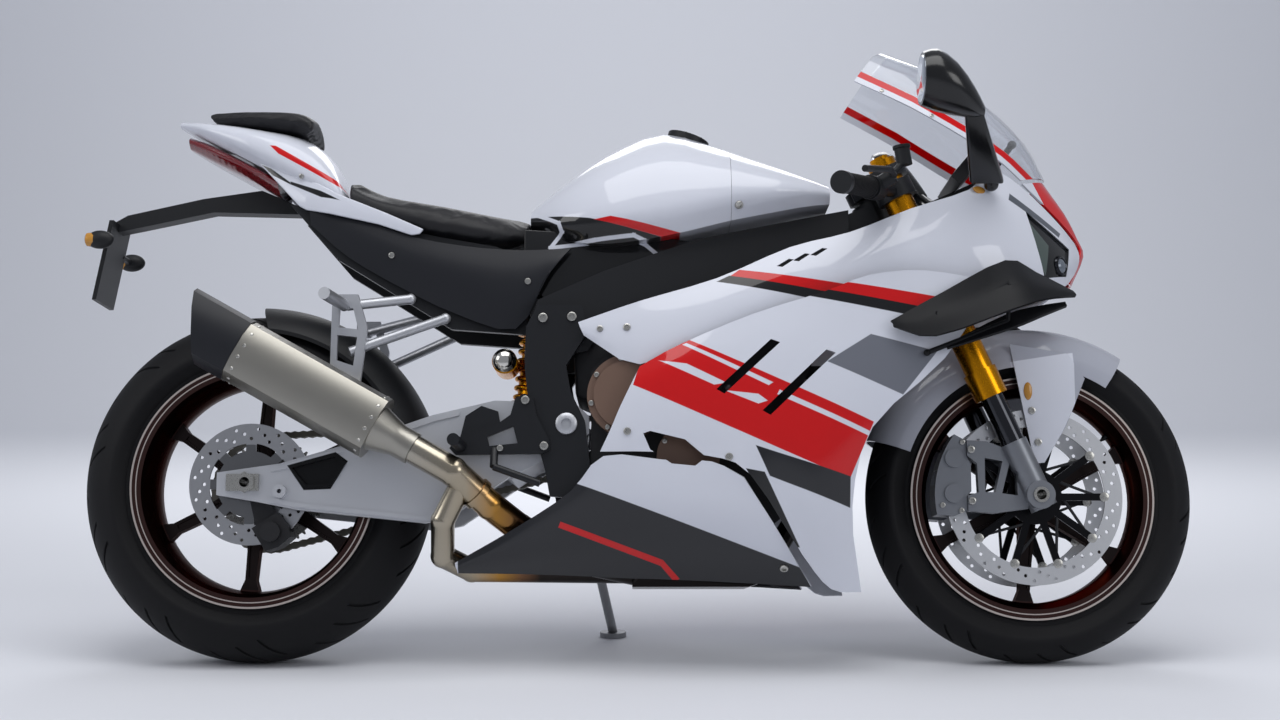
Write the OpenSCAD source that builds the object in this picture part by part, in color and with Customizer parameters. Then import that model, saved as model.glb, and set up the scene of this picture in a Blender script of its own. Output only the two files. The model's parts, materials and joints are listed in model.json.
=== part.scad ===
// Sport motorcycle with full fairing, standing on its side stand.
// The bike frame has x forward from the rear axle, y to the left and z up in the bike's own plane.
// stance() leans that frame to the left and puts the middle of the footprint at the origin.

/* [Stance] */
// Lean to the left on the side stand, degrees
lean = 10; // [9.5:0.1:10.5]
// Distance from the rear axle to the middle of the footprint
middle_x = 701; // [690:1:715]
// Distance from the wheels' ground line to the middle of the footprint
middle_y = 174; // [168:1:180]

/* [Wheels and tyres] */
// Front tyre height over the rim's flange
front_sidewall = 77; // [73:1:81]
// Front tyre width
front_tyre_w = 120; // [114:1:124]
// Front tyre crown radius
front_crown_r = 63; // [62:1:70]
// Rear tyre height over the rim's flange
rear_sidewall = 97; // [93:1:101]
// Rear tyre width
rear_tyre_w = 190; // [180:1:196]
// Rear tyre crown radius
rear_crown_r = 100; // [98:1:110]
// Radius of both rims at the flange
rim_r = 223; // [220:1:226]
// Width of the front rim over its flanges
front_rim_w = 102; // [96:1:106]
// Width of the rear rim over its flanges
rear_rim_w = 164; // [156:1:168]
// Radial depth of a rim, flange to barrel
rim_depth = 26; // [22:1:30]
// Spokes in each wheel
spoke_count = 6; // [5:1:7]
// Width of a spoke at the rim
spoke_w = 20; // [16:1:26]

/* [Axles] */
// Outer radius of the hollow axles
axle_r = 14; // [12:0.5:16]
// Bore radius of the hollow axles
axle_bore_r = 9; // [7:0.5:10]
// Radial clearance of a shaft in its bore
shaft_clearance = 0.1; // [0.05:0.01:0.2]

/* [Chassis] */
// Swingarm pivot, forward of the rear axle's nominal place
pivot_x = 573; // [565:1:580]
// Swingarm pivot height
pivot_z = 425; // [415:1:435]
// Swingarm length, pivot to axle
swingarm_length = 582; // [576:1:590]
// Inner face of each swingarm arm from the middle plane
arm_in_y = 118; // [117:1:121]
// Thickness of a swingarm arm
arm_t = 24; // [22:1:28]
// Steering axis at the middle of the head tube, forward
head_x = 1161; // [1155:1:1167]
// Height of the middle of the head tube
head_z = 815; // [810:1:820]
// Rake of the steering axis, degrees
rake = 24; // [23.5:0.1:24.5]

/* [Fork] */
// Radius of the steering stem
stem_r = 20; // [18:0.5:22]
// Distance of each fork leg from the middle plane
fork_y = 105; // [102:1:108]
// Offset of the legs ahead of the steering axis
fork_offset = 30; // [26:1:34]
// Radius of the outer fork tubes
fork_tube_r = 27; // [25:0.5:28]
// Radius of the inner fork tubes
slider_r = 21.5; // [20:0.5:22.5]
// Top of the outer tubes above the head's middle
fork_top = 98; // [92:1:104]
// Bottom of the outer tubes below the head's middle
fork_split = 380; // [370:1:390]

/* [Brakes] */
// Front disc's edge in from the rim's flange
front_disc_inset = 63; // [60:1:68]
// Distance of a front disc from the middle plane
front_disc_y = 68; // [66:0.5:70]
// Rear disc radius
rear_disc_r = 110; // [105:1:115]
// Distance of the rear disc from the middle plane
rear_disc_y = 101; // [100:0.5:102]
// Disc thickness
disc_t = 5; // [4:0.5:6]
// Gap between a disc and its caliper
pad_gap = 5; // [4:0.5:6]

/* [Chain drive] */
// Chain pitch
chain_pitch = 15.875; // [15.875]
// Teeth on the rear sprocket
rear_teeth = 43; // [41:1:45]
// Teeth on the front sprocket
front_teeth = 16; // [15:1:17]
// Distance of the chain line from the middle plane
chain_y = 107; // [106.5:0.1:107.5]

/* [Bodywork] */
// Wall of the fairing panels
cowl_wall = 4; // [3:0.5:5]
// Gap between neighbouring pieces
fit_gap = 0.6; // [0.4:0.1:0.8]

/* [Hidden] */
$fn = 64;

// Colours of the finishes
white_c = "white";
dark_c = "#2b2c30";
black_c = "#18181a";
silver_c = "#b9bcc2";
gold_c = "#d69a1e";
titan_c = "#a9a59a";
bronze_c = "#6b5248";
red_c = "#d21f1f";

front_tyre_r = rim_r + front_sidewall;
rear_tyre_r = rim_r + rear_sidewall;
front_disc_r = rim_r - front_disc_inset;
// Axle heights that put each leaned crown on the floor
rear_axle_z = rear_tyre_r - rear_crown_r + rear_crown_r / cos(lean);
front_axle_z = front_tyre_r - front_crown_r + front_crown_r / cos(lean);
rear_axle_x = pivot_x - sqrt(pow(swingarm_length, 2) - pow(pivot_z - rear_axle_z, 2));
// Distance along the legs from the head's middle down to the front axle
fork_drop = (head_z + fork_offset * sin(rake) - front_axle_z) / cos(rake);
front_axle_x = head_x + fork_offset * cos(rake) + fork_drop * sin(rake);

// Places

module stance() {
    translate([-middle_x, -middle_y, 0]) rotate([-lean, 0, 0]) children();
}

// Steering frame: z up the steering axis, x ahead of it, origin at the head's middle
module steering() {
    translate([head_x, 0, head_z]) rotate([0, -rake, 0]) children();
}

// Axle frames: y along the axle
module at_rear_axle() {
    translate([rear_axle_x, 0, rear_axle_z]) children();
}

module at_front_axle() {
    translate([front_axle_x, 0, front_axle_z]) children();
}

module both_sides() {
    children();
    mirror([0, 1, 0]) children();
}

// Extrudes a side view, drawn in x and z, from y0 to y1
module side_plate(y0, y1) {
    translate([0, y1, 0]) rotate([90, 0, 0]) linear_extrude(y1 - y0) children();
}

// A round bar between two points
module rod(a, b, r, end_r = 0) {
    d = b - a;
    h = norm(d);
    translate(a) rotate([0, acos(d[2] / h), atan2(d[1], d[0])])
        cylinder(h = h, r1 = r, r2 = end_r > 0 ? end_r : r);
}

// A shaft along y from y0 to y1
module cross_shaft(y0, y1, r) {
    translate([0, y1, 0]) rotate([90, 0, 0]) cylinder(h = y1 - y0, r = r);
}

// Smooth curves and lofts

function before(p, i) = i > 0 ? p[i - 1] : 2 * p[0] - p[1];
function after(p, i) = i < len(p) ? p[i] : 2 * p[len(p) - 1] - p[len(p) - 2];
function ease(a, b, c, d, t) =
    0.5 * (2 * b + (c - a) * t + (2 * a - 5 * b + 4 * c - d) * t * t + (3 * b - a - 3 * c + d) * t * t * t);
function spline(p, n) = concat(
    [for (i = [0:len(p) - 2]) for (s = [0:n - 1])
        ease(before(p, i), p[i], p[i + 1], after(p, i + 2), s / n)],
    [p[len(p) - 1]]);
function columns(g) = [for (j = [0:len(g[0]) - 1]) [for (r = g) r[j]]];
// A net of control points to a finer grid, with net_steps between neighbours both ways
net_steps = 3;
function fine_grid(net) = let (rows = [for (r = net) spline(r, net_steps)])
    columns([for (c = columns(rows)) spline(c, net_steps)]);
function polar(r, a) = r * [cos(a), sin(a)];
function unit(v) = v / max(norm(v), 0.000001);
function clampi(i, n) = min(max(i, 0), n - 1);
function grid_normal(g, i, j) = unit(cross(
    g[clampi(i + 1, len(g))][j] - g[clampi(i - 1, len(g))][j],
    g[i][clampi(j + 1, len(g[0]))] - g[i][clampi(j - 1, len(g[0]))]));
function inset_grid(g, wall) =
    [for (i = [0:len(g) - 1]) [for (j = [0:len(g[0]) - 1]) g[i][j] - wall * grid_normal(g, i, j)]];
function flat(l) = [for (a = l) for (b = a) b];

// Two grids of one size joined by a rim: an open shell with a wall
module grid_shell(outer, inner) {
    n = len(outer);
    m = len(outer[0]);
    half = n * m;
    rim = concat(
        [for (i = [0:n - 1]) i * m],
        [for (j = [1:m - 1]) (n - 1) * m + j],
        [for (i = [n - 2:-1:0]) i * m + m - 1],
        [for (j = [m - 2:-1:1]) j]);
    polyhedron(
        points = concat(flat(outer), flat(inner)),
        faces = concat(
            [for (i = [0:n - 2]) for (j = [0:m - 2])
                [i * m + j, i * m + j + 1, (i + 1) * m + j + 1, (i + 1) * m + j]],
            [for (i = [0:n - 2]) for (j = [0:m - 2])
                [half + i * m + j, half + (i + 1) * m + j, half + (i + 1) * m + j + 1,
                    half + i * m + j + 1]],
            [for (k = [0:len(rim) - 1])
                [rim[k], rim[(k + 1) % len(rim)], half + rim[(k + 1) % len(rim)], half + rim[k]]]),
        convexity = 8);
}

// A panel whose outer face follows the net, wall thick
module panel(net, wall) {
    g = fine_grid(net);
    grid_shell(g, inset_grid(g, wall));
}

// A solid through closed rings of one size in rising x, each from the right over the top, with flat ends
module ring_loft(rings) {
    n = len(rings);
    m = len(rings[0]);
    polyhedron(
        points = flat(rings),
        faces = concat(
            [[for (j = [m - 1:-1:0]) j]],
            [for (i = [0:n - 2]) for (j = [0:m - 1])
                [i * m + j, i * m + (j + 1) % m, (i + 1) * m + (j + 1) % m, (i + 1) * m + j]],
            [[for (j = [0:m - 1]) (n - 1) * m + j]]),
        convexity = 6);
}

// A body that is the same left and right, from rows of
// [x, base z, base half width, waist z, waist half width, shoulder z, shoulder half width, top z]
function body_section(r, n) = [for (p = spline([
    [-r[2], r[1]], [-r[4], r[3]], [-r[6], r[5]], [0, r[7]], [r[6], r[5]], [r[4], r[3]], [r[2], r[1]]], n))
    [r[0], p[0], p[1]]];
module body_loft(rows, n = 4, nx = 3) {
    ring_loft([for (r = spline(rows, nx)) body_section(r, n)]);
}

// Wheels

module tyre(r, w, crown_r, rim_w) {
    bead = rim_w / 2 - 9;
    shoulder = r - crown_r + sqrt(pow(crown_r, 2) - pow(w / 2 - 2, 2));
    rotate([90, 0, 0]) rotate_extrude($fn = 96) difference() {
        intersection() {
            translate([r - crown_r, 0]) circle(r = crown_r);
            polygon([[rim_r - 12, -bead], [rim_r + 1, -bead], [shoulder, -w / 2], [r + 1, -w / 2],
                [r + 1, w / 2], [shoulder, w / 2], [rim_r + 1, bead], [rim_r - 12, bead]]);
        }
        polygon([[rim_r - 13, -bead + 14], [shoulder - 6, -w / 2 + 16], [shoulder - 6, w / 2 - 16],
            [rim_r - 13, bead - 14]]);
    }
}

module rim(w, hub_r, hub_w, spoke_t) {
    bead = w / 2 - 8;
    seat = rim_r - 12 - fit_gap;
    barrel = rim_r - rim_depth;
    flat = spoke_t / 2 + 7;
    rotate([90, 0, 0]) difference() {
        union() {
            rotate_extrude($fn = 96) polygon([[barrel - 6, -flat], [barrel, -w / 2 + 14],
                [barrel + 6, -w / 2], [rim_r, -w / 2], [rim_r, -w / 2 + 6], [seat, -bead + fit_gap],
                [seat, -bead + 13], [barrel + 10, -20], [barrel + 10, 20], [seat, bead - 13],
                [seat, bead - fit_gap], [rim_r, w / 2 - 6], [rim_r, w / 2], [barrel + 6, w / 2],
                [barrel, w / 2 - 14], [barrel - 6, flat]]);
            translate([0, 0, -hub_w / 2]) cylinder(h = hub_w, r = hub_r);
            for (k = [0:spoke_count - 1]) rotate(k * 360 / spoke_count + 26) spoke(hub_r, barrel, spoke_t);
        }
        translate([0, 0, -hub_w]) cylinder(h = 2 * hub_w, r = axle_r + shaft_clearance);
    }
}

// One spoke along x with a pocket in each face
module spoke(hub_r, barrel, t) {
    root = hub_r - 4;
    // Neighbouring spokes part inside the hub
    root_w = min(spoke_w, hub_r * sin(180 / spoke_count) * 0.9);
    difference() {
        translate([0, 0, -t / 2]) linear_extrude(t) polygon([[root, -root_w],
            [barrel * 0.6, -spoke_w * 0.55], [barrel * 0.86, -spoke_w * 0.5], [barrel, -spoke_w],
            [barrel, spoke_w], [barrel * 0.86, spoke_w * 0.5], [barrel * 0.6, spoke_w * 0.55],
            [root, root_w]]);
        for (s = [-1, 1]) translate([0, 0, s * t / 2 - 4]) linear_extrude(8) polygon([
            [root + 14, -spoke_w * 0.45], [barrel * 0.84, -spoke_w * 0.22], [barrel * 0.84, spoke_w * 0.22],
            [root + 14, spoke_w * 0.45]]);
    }
}

module front_tyre() {
    color(black_c) at_front_axle() tyre(front_tyre_r, front_tyre_w, front_crown_r, front_rim_w);
}

module rear_tyre() {
    color(black_c) at_rear_axle() tyre(rear_tyre_r, rear_tyre_w, rear_crown_r, rear_rim_w);
}

front_hub_r = 36;
front_hub_w = 2 * (front_disc_y - disc_t / 2);
rear_hub_r = 46;
rear_hub_w = 2 * (rear_disc_y - disc_t / 2);

module front_rim() {
    color(bronze_c) at_front_axle() rim(front_rim_w, front_hub_r, front_hub_w, 26);
}

module rear_rim() {
    color(bronze_c) at_rear_axle() rim(rear_rim_w, rear_hub_r, rear_hub_w, 30);
}

// Drilled brake rotor on a spider, drawn about z
module rotor(r, band, arms, arm_w, hub_r, hole_rows) {
    linear_extrude(disc_t) difference() {
        union() {
            difference() {
                circle(r = r, $fn = 96);
                circle(r = r - band, $fn = 96);
            }
            circle(r = hub_r + 14);
            for (k = [0:arms - 1]) rotate(k * 360 / arms) translate([hub_r, -arm_w / 2])
                square([r - band + 2 - hub_r, arm_w]);
        }
        circle(r = axle_r + 8);
        for (row = hole_rows, k = [0:arms - 1]) rotate(row[1] + k * 360 / arms)
            translate([r - band + row[0], 0]) circle(r = 3.2, $fn = 24);
    }
}

// Rows of [distance in from the band's inner edge, turn in degrees]
front_holes = [[8, 4], [16, 10], [24, 16], [8, 20], [16, 26], [24, 31]];
rear_holes = [[9, 0], [18, 8], [27, 16], [9, 22], [18, 30], [27, 38]];

module front_discs() {
    color(silver_c) at_front_axle() both_sides() translate([0, -front_disc_y - disc_t / 2, 0])
        rotate([90, 0, 0])
        mirror([0, 0, 1]) rotor(front_disc_r, 32, 10, 13, front_hub_r, front_holes);
}

module rear_disc() {
    color(silver_c) at_rear_axle() translate([0, -rear_disc_y - disc_t / 2, 0]) rotate([90, 0, 0])
        mirror([0, 0, 1]) rotor(rear_disc_r, 36, 8, 18, rear_hub_r, rear_holes);
}

// Chain drive

function pitch_r(teeth) = chain_pitch / (2 * sin(180 / teeth));
plate_h = 14;
plate_waist = 10;
roller_r = 5.1;
front_sprocket_x = pivot_x + 92;
front_sprocket_z = pivot_z + 2;
chain_dx = front_sprocket_x - rear_axle_x;
chain_dz = front_sprocket_z - rear_axle_z;
chain_span = norm([chain_dx, chain_dz]);
chain_slope = atan2(chain_dz, chain_dx);
chain_wrap = asin((pitch_r(rear_teeth) - pitch_r(front_teeth)) / chain_span);
sprocket_t = 5;

// Sprocket whose teeth stop short of the rollers, so that it turns inside the fixed loop
module sprocket(teeth, hub_r) {
    tip = pitch_r(teeth) - roller_r - 1.5;
    root = tip - 6;
    linear_extrude(sprocket_t) difference() {
        union() {
            circle(r = root, $fn = 96);
            for (k = [0:teeth - 1]) rotate(k * 360 / teeth)
                polygon([[root - 2, -4], [tip, -1.6], [tip, 1.6], [root - 2, 4]]);
        }
        circle(r = hub_r);
        for (k = [0:5]) rotate(k * 60 + 30) translate([hub_r + 44, 0]) circle(r = 12);
    }
}

module rear_sprocket() {
    hub_r = axle_r + 10;
    carrier = [rear_disc_y - disc_t / 2, chain_y - sprocket_t / 2];
    color(dark_c) at_rear_axle() {
        translate([0, chain_y + sprocket_t / 2, 0]) rotate([90, 0, 0]) sprocket(rear_teeth, hub_r);
        translate([0, carrier[1], 0]) rotate([90, 0, 0]) linear_extrude(carrier[1] - carrier[0])
            difference() {
            circle(r = hub_r + 24);
            circle(r = hub_r);
        }
    }
}

// Room for the chain: the outline of a belt round both sprockets, grown by a distance
module chain_room(grow) {
    r1 = pitch_r(rear_teeth) + grow;
    r2 = pitch_r(front_teeth) + grow;
    circle(r = r1, $fn = 96);
    translate([chain_span, 0]) circle(r = r2);
    polygon([
        [r1 * sin(chain_wrap), r1 * cos(chain_wrap)],
        [chain_span + r2 * sin(chain_wrap), r2 * cos(chain_wrap)],
        [chain_span + r2 * sin(chain_wrap), -r2 * cos(chain_wrap)],
        [r1 * sin(chain_wrap), -r1 * cos(chain_wrap)]]);
}

// The chain's pitch line by distance s: round the rear sprocket, along the lower run, round the front
// one and back along the top
rear_arc = pitch_r(rear_teeth) * (180 + 2 * chain_wrap) * PI / 180;
front_arc = pitch_r(front_teeth) * (180 - 2 * chain_wrap) * PI / 180;
straight_run = chain_span * cos(chain_wrap);
loop_len = rear_arc + front_arc + 2 * straight_run;
links = 2 * round(loop_len / chain_pitch / 2);
function on_rear(t, grow) = (pitch_r(rear_teeth) + grow) * [cos(t), sin(t)];
function on_front(t, grow) = [chain_span, 0] + (pitch_r(front_teeth) + grow) * [cos(t), sin(t)];
function loop_at(s, grow) =
    s < rear_arc ? on_rear(90 - chain_wrap + s / pitch_r(rear_teeth) * 180 / PI, grow)
    : s < rear_arc + straight_run
        ? on_rear(270 + chain_wrap, grow) + (s - rear_arc) * [cos(chain_wrap), sin(chain_wrap)]
    : s < rear_arc + straight_run + front_arc
        ? on_front(270 + chain_wrap + (s - rear_arc - straight_run) / pitch_r(front_teeth) * 180 / PI, grow)
    : on_front(90 - chain_wrap, grow) + (s - rear_arc - straight_run - front_arc)
        * [-cos(chain_wrap), sin(chain_wrap)];

module chain_outline(grow) {
    polygon([for (k = [0:links - 1]) loop_at(k * loop_len / links, grow)]);
}

// Outline of one side of the link plates, high at each pin and waisted between pins
function plate_edge(side) = [for (k = [0:2 * links - 1])
    loop_at(k * loop_len / links / 2, side * (k % 2 == 0 ? plate_h / 2 : plate_waist / 2))];

// Side plates each side of the sprocket, tied by the rollers' band outside the teeth
module chain() {
    color("#8d8a80") translate([rear_axle_x, chain_y, rear_axle_z]) rotate([90, -chain_slope, 0]) {
        for (s = [-1, 1]) translate([0, 0, s * 5.5 - 1.5]) linear_extrude(3) difference() {
            polygon(plate_edge(1));
            polygon(plate_edge(-1));
        }
        translate([0, 0, -4]) linear_extrude(8) difference() {
            chain_outline(roller_r);
            chain_outline(-1);
        }
    }
}

// Rear end

arm_out_y = arm_in_y + arm_t;
axle_half = arm_out_y + 14;
spacer_r = axle_r + 6;

// One arm in side view, from the axle end to the pivot
module arm_outline() {
    ax = rear_axle_x;
    az = rear_axle_z;
    polygon([[ax - 52, az + 18], [ax - 52, az - 22], [ax + 20, az - 34], [ax + 90, az - 48],
        [ax + 320, az - 72], [ax + 364, az - 62], [pivot_x - 100, pivot_z - 92],
        [pivot_x + 10, pivot_z - 40], [pivot_x + 40, pivot_z - 16], [pivot_x + 40, pivot_z + 16],
        [pivot_x + 14, pivot_z + 40], [pivot_x - 130, pivot_z + 44], [pivot_x - 240, pivot_z + 18],
        [ax + 190, az + 72], [ax + 60, az + 34]]);
}

module arm_window() {
    ax = rear_axle_x;
    az = rear_axle_z;
    polygon([[ax + 82, az + 26], [ax + 158, az + 46], [ax + 172, az + 34], [ax + 148, az - 2],
        [ax + 108, az - 4]]);
}

module swingarm() {
    color(silver_c) difference() {
        union() {
            both_sides() {
                side_plate(-arm_out_y, -arm_in_y) difference() {
                    arm_outline();
                    translate([rear_axle_x, rear_axle_z]) hull() {
                        translate([-22, 0]) circle(r = axle_r + shaft_clearance);
                        circle(r = axle_r + shaft_clearance);
                    }
                }
                // Plate that closes the window
                side_plate(-arm_out_y - 3, -arm_out_y) difference() {
                    offset(r = 6) arm_window();
                    arm_window();
                }
                // Raised rim of the beam
                side_plate(-arm_out_y - 3, -arm_out_y) intersection() {
                    difference() {
                        offset(delta = -4) arm_outline();
                        offset(delta = -12) arm_outline();
                    }
                    translate([rear_axle_x + 44, 0]) square([336, 600]);
                }
                // Paddock stand boss
                translate([rear_axle_x + 62, 0, rear_axle_z - 16])
                    cross_shaft(-arm_out_y - 12, -arm_out_y, 12);
            }
            // Cross beam ahead of the tyre and the pivot tube
            side_plate(-arm_in_y, arm_in_y) polygon([[pivot_x - 150, pivot_z - 60],
                [pivot_x - 100, pivot_z - 96], [pivot_x - 30, pivot_z - 50], [pivot_x - 44, pivot_z + 26],
                [pivot_x - 130, pivot_z + 40]]);
            translate([pivot_x, 0, pivot_z]) cross_shaft(-arm_in_y, arm_in_y, 34);
        }
        translate([pivot_x, 0, pivot_z]) cross_shaft(-arm_out_y - 1, arm_out_y + 1, 16);
        both_sides() translate([rear_axle_x + 62, 0, rear_axle_z - 16])
            cross_shaft(-arm_out_y - 13, -arm_out_y + 14, 4);
        both_sides() side_plate(-arm_out_y - 4, -arm_out_y + 5) arm_window();
        // Tunnels for the chain's two runs
        translate([rear_axle_x, chain_y + 13, rear_axle_z]) rotate([90, -chain_slope, 0]) linear_extrude(26)
            difference() {
            chain_room(plate_h);
            chain_room(-plate_h);
        }
    }
}

module rear_axle() {
    color(silver_c) at_rear_axle() difference() {
        union() {
            cross_shaft(-axle_half, axle_half, axle_r);
            both_sides() {
                cross_shaft(-arm_in_y + fit_gap, -rear_disc_y - disc_t / 2 - fit_gap, spacer_r);
                // Adjuster block and nut outside the arm
                side_plate(-arm_out_y - 8, -arm_out_y - fit_gap) hull() {
                    translate([-30, 0]) square([8, 30], center = true);
                    translate([20, 0]) square([8, 30], center = true);
                }
                rotate([0, 30, 0]) cross_shaft(-axle_half, -arm_out_y - 8, 19, $fn = 6);
            }
        }
        cross_shaft(-axle_half - 1, axle_half + 1, axle_bore_r);
    }
}

// Single slide caliper under the right arm
module rear_caliper() {
    color(dark_c) at_rear_axle() rotate([0, 58, 0]) difference() {
        union() {
            side_plate(-rear_disc_y - 30, -rear_disc_y + 26)
                polygon([[74, -34], [122, -34], [128, -10], [124, 18], [104, 24], [74, 20]]);
            // Stay up to the arm's end
            side_plate(-arm_in_y + fit_gap, -arm_in_y + 7) polygon([[24, -12], [80, -30], [80, 18],
                [24, 12]]);
            translate([98, 0, -8]) cross_shaft(-rear_disc_y - 42, -rear_disc_y - 30, 18);
        }
        side_plate(-rear_disc_y - disc_t / 2 - pad_gap, -rear_disc_y + disc_t / 2 + pad_gap)
            circle(r = rear_disc_r + 6);
    }
}

// Mudguard close round the front upper quarter of the rear tyre, with a tab to the right arm
module hugger() {
    gap = 14;
    half_w = 97;
    color(black_c) at_rear_axle() difference() {
        union() {
            rotate([90, 0, 0]) rotate([0, 0, 10]) rotate_extrude(angle = 92, $fn = 96) difference() {
                intersection() {
                    translate([rear_tyre_r - rear_crown_r, 0]) circle(r = rear_crown_r + gap + 4);
                    translate([rear_tyre_r - 40, -half_w]) square([80, 2 * half_w]);
                }
                translate([rear_tyre_r - rear_crown_r, 0]) circle(r = rear_crown_r + gap);
            }
            side_plate(-arm_in_y + fit_gap, -half_w + 3) polygon([polar(rear_tyre_r - 37, 17),
                polar(rear_tyre_r - 12, 13), polar(rear_tyre_r + 7, 15), polar(rear_tyre_r - 5, 20)]);
        }
        // Swept back rear edge
        side_plate(-200, 200) polygon([[-rear_tyre_r - 80, rear_tyre_r + 180], [-60, rear_tyre_r + 180],
            [30, rear_tyre_r - 50], [-rear_tyre_r - 80, rear_tyre_r - 120]]);
    }
}

// Spring and damper ahead of the tyre
module shock() {
    top = [pivot_x - 60, 0, pivot_z + 204.8];
    low = [pivot_x - 78, 0, pivot_z + 34];
    color(gold_c) {
        rod(low, top, 16);
        rod(low + (top - low) * 0.12, low + (top - low) * 0.88, 24);
        for (k = [0:6]) translate(low + (top - low) * (0.18 + k * 0.1)) rotate([0, 6, 0])
            rotate_extrude() translate([27, 0]) circle(r = 5);
        rod(low + (top - low) * 0.08, low + (top - low) * 0.13, 35);
        rod(low + (top - low) * 0.86, low + (top - low) * 0.92, 35);
        // Reservoir on the right with its pipe
        rod([pivot_x - 116, -96, pivot_z + 122], [pivot_x - 116, -16, pivot_z + 122], 23);
        rod([pivot_x - 116, -30, pivot_z + 122], [pivot_x - 66, 0, pivot_z + 126], 8);
    }
}

// Frame

spar_in_rear = 112;
spar_t = 30;
spar_toe = 7.5;
spar_out_rear = spar_in_rear + spar_t;
plate_out_y = arm_out_y + 22;
function spar_face_y(x) = spar_out_rear - (x - pivot_x) * tan(spar_toe);

// Twin spar in side view
module spar_outline() {
    polygon([[1096, 834], [1040, 822], [814, 772], [640, 708], [520, 652], [500, 600], [498, 540],
        [610, 560], [640, 606], [813, 664], [1000, 738], [1096, 770]]);
}

module pivot_plate_outline() {
    polygon([[500, 600], [498, 525], [508, 440], [536, 340], [544, 296], [600, 290], [615.4, 334],
        [615.4, 352], [606, 430], [580, 484], [572, 530], [610, 590], [600, 640], [520, 640]]);
}

module main_frame() {
    color(black_c) difference() {
        union() {
            both_sides() {
                translate([pivot_x, -spar_out_rear, 0]) rotate([0, 0, spar_toe]) translate([-pivot_x, 0, 0])
                    side_plate(0, spar_t) spar_outline();
                side_plate(-plate_out_y, -arm_out_y - 2) pivot_plate_outline();
            }
            steering() translate([0, 0, -52]) cylinder(h = 104, r = 36);
            steering() translate([-96, -52, -42]) cube([90, 104, 84]);
            // Pivot shaft and the cross tube that carries the shock
            translate([pivot_x, 0, pivot_z]) cross_shaft(-plate_out_y, plate_out_y, 15.5);
            translate([514, 0, pivot_z + 220]) cross_shaft(-spar_in_rear - 1, spar_in_rear + 1, 15);
            // Bracket and pin of the side stand
            rod([575, 146, 318], [598, 92, 240], 12);
            stand_frame() translate([0, 0, -46]) cylinder(h = 35, r = 18);
            stand_frame() translate([0, 0, -20]) cylinder(h = 44, r = 7);
            stand_frame() translate([0, 0, 13]) cylinder(h = 9, r = 12, $fn = 6);
        }
        steering() translate([0, 0, -80]) cylinder(h = 160, r = stem_r + shaft_clearance);
        translate([pivot_x, 0, pivot_z]) cross_shaft(-300, 300, 9);
    }
}

// Rear frame rails under the seat
module subframe() {
    color(black_c) {
        both_sides() side_plate(-96, -80) polygon([[498.4, 660], [498.4, 596], [360, 606], [150, 735],
            [60, 838], [132, 841.4], [150, 826], [166, 820], [230, 800], [340, 777.4], [440, 760],
            [490, 740]]);
        for (p = [[150, 790], [300, 745], [440, 700]]) translate([p[0], 0, p[1]]) cross_shaft(-84, 84, 9);
    }
}

// Engine

module engine_solid() {
    side_plate(-148, 148) polygon([[640, 245], [920, 232], [970, 270], [960, 420], [880, 480], [650, 560],
        [616, 520], [616, 300]]);
    side_plate(-130, 130) polygon([[770, 500], [950, 400], [1026, 560], [1000, 640], [880, 655],
        [800, 600]]);
    side_plate(-80, 80) polygon([[690, 250], [900, 240], [880, 206], [720, 206]]);
}

module engine() {
    color(dark_c) difference() {
        engine_solid();
        translate([pivot_x, 0, pivot_z]) cross_shaft(-200, 200, 44);
        // Room for the front sprocket and the chain's end
        translate([front_sprocket_x, 0, front_sprocket_z]) cross_shaft(chain_y - 16, 200,
            pitch_r(front_teeth) + 16);
        side_plate(chain_y - 16, 200) polygon([[600, 340], [front_sprocket_x, 360],
            [front_sprocket_x, 490], [600, 500]]);
    }
    color(dark_c) translate([front_sprocket_x, 0, front_sprocket_z])
        cross_shaft(chain_y - 20, chain_y + 4, pitch_r(front_teeth) - plate_h / 2 - fit_gap);
}

module engine_covers() {
    color(bronze_c) {
        // Clutch cover on the right, pump cover below it, generator cover on the left
        translate([684, 0, 474]) {
            cross_shaft(-178, -148, 74);
            cross_shaft(-186, -178, 62);
        }
        translate([790, 0, 366]) cross_shaft(-172, -148, 56);
        translate([800, 0, 400]) {
            cross_shaft(148, 186, 84);
            cross_shaft(186, 192, 66);
        }
    }
}

radiator_x = front_axle_x - front_tyre_r - 45;
header_x = radiator_x - 78;

module radiator() {
    color(black_c) translate([radiator_x, 0, 440]) rotate([0, 13, 0]) {
        cube([34, 330, 270], center = true);
        both_sides() translate([0, -178, 0]) cube([44, 26, 250], center = true);
    }
    // Mount back to the engine
    color(black_c) difference() {
        side_plate(-40, 40) polygon([[header_x, 522], [radiator_x + 2, 522], [radiator_x + 2, 546],
            [header_x, 546]]);
        engine_solid();
    }
}

// Exhaust

muffler_tail = [-58, -198, 580];
muffler_nose = [266, -198, 398];
muffler_len = norm(muffler_tail - muffler_nose);
muffler_dir = (muffler_tail - muffler_nose) / muffler_len;
muffler_pitch = acos(muffler_dir[2]);
inlet_len = 44;

// Muffler frame: z from the inlet to the tail
module muffler_frame() {
    translate(muffler_nose) rotate([0, -muffler_pitch, 0]) children();
}

// Eight sided section, tall along x and wide along y
module muffler_section(k) {
    scale(k) polygon([[-58, -16], [-44, -40], [-16, -49], [24, -49], [50, -36], [58, -10], [58, 12],
        [48, 38], [22, 49], [-18, 49], [-46, 38], [-58, 14]]);
}

module muffler() {
    color(titan_c) muffler_frame() {
        translate([0, 0, 30]) linear_extrude(muffler_len - 92) muffler_section(1);
        translate([0, 0, -14]) cylinder(h = 44, r1 = 29, r2 = 42);
        translate([0, 0, -inlet_len]) cylinder(h = inlet_len - 13, r = 29);
    }
}

cap_end_x = -82;

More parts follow.
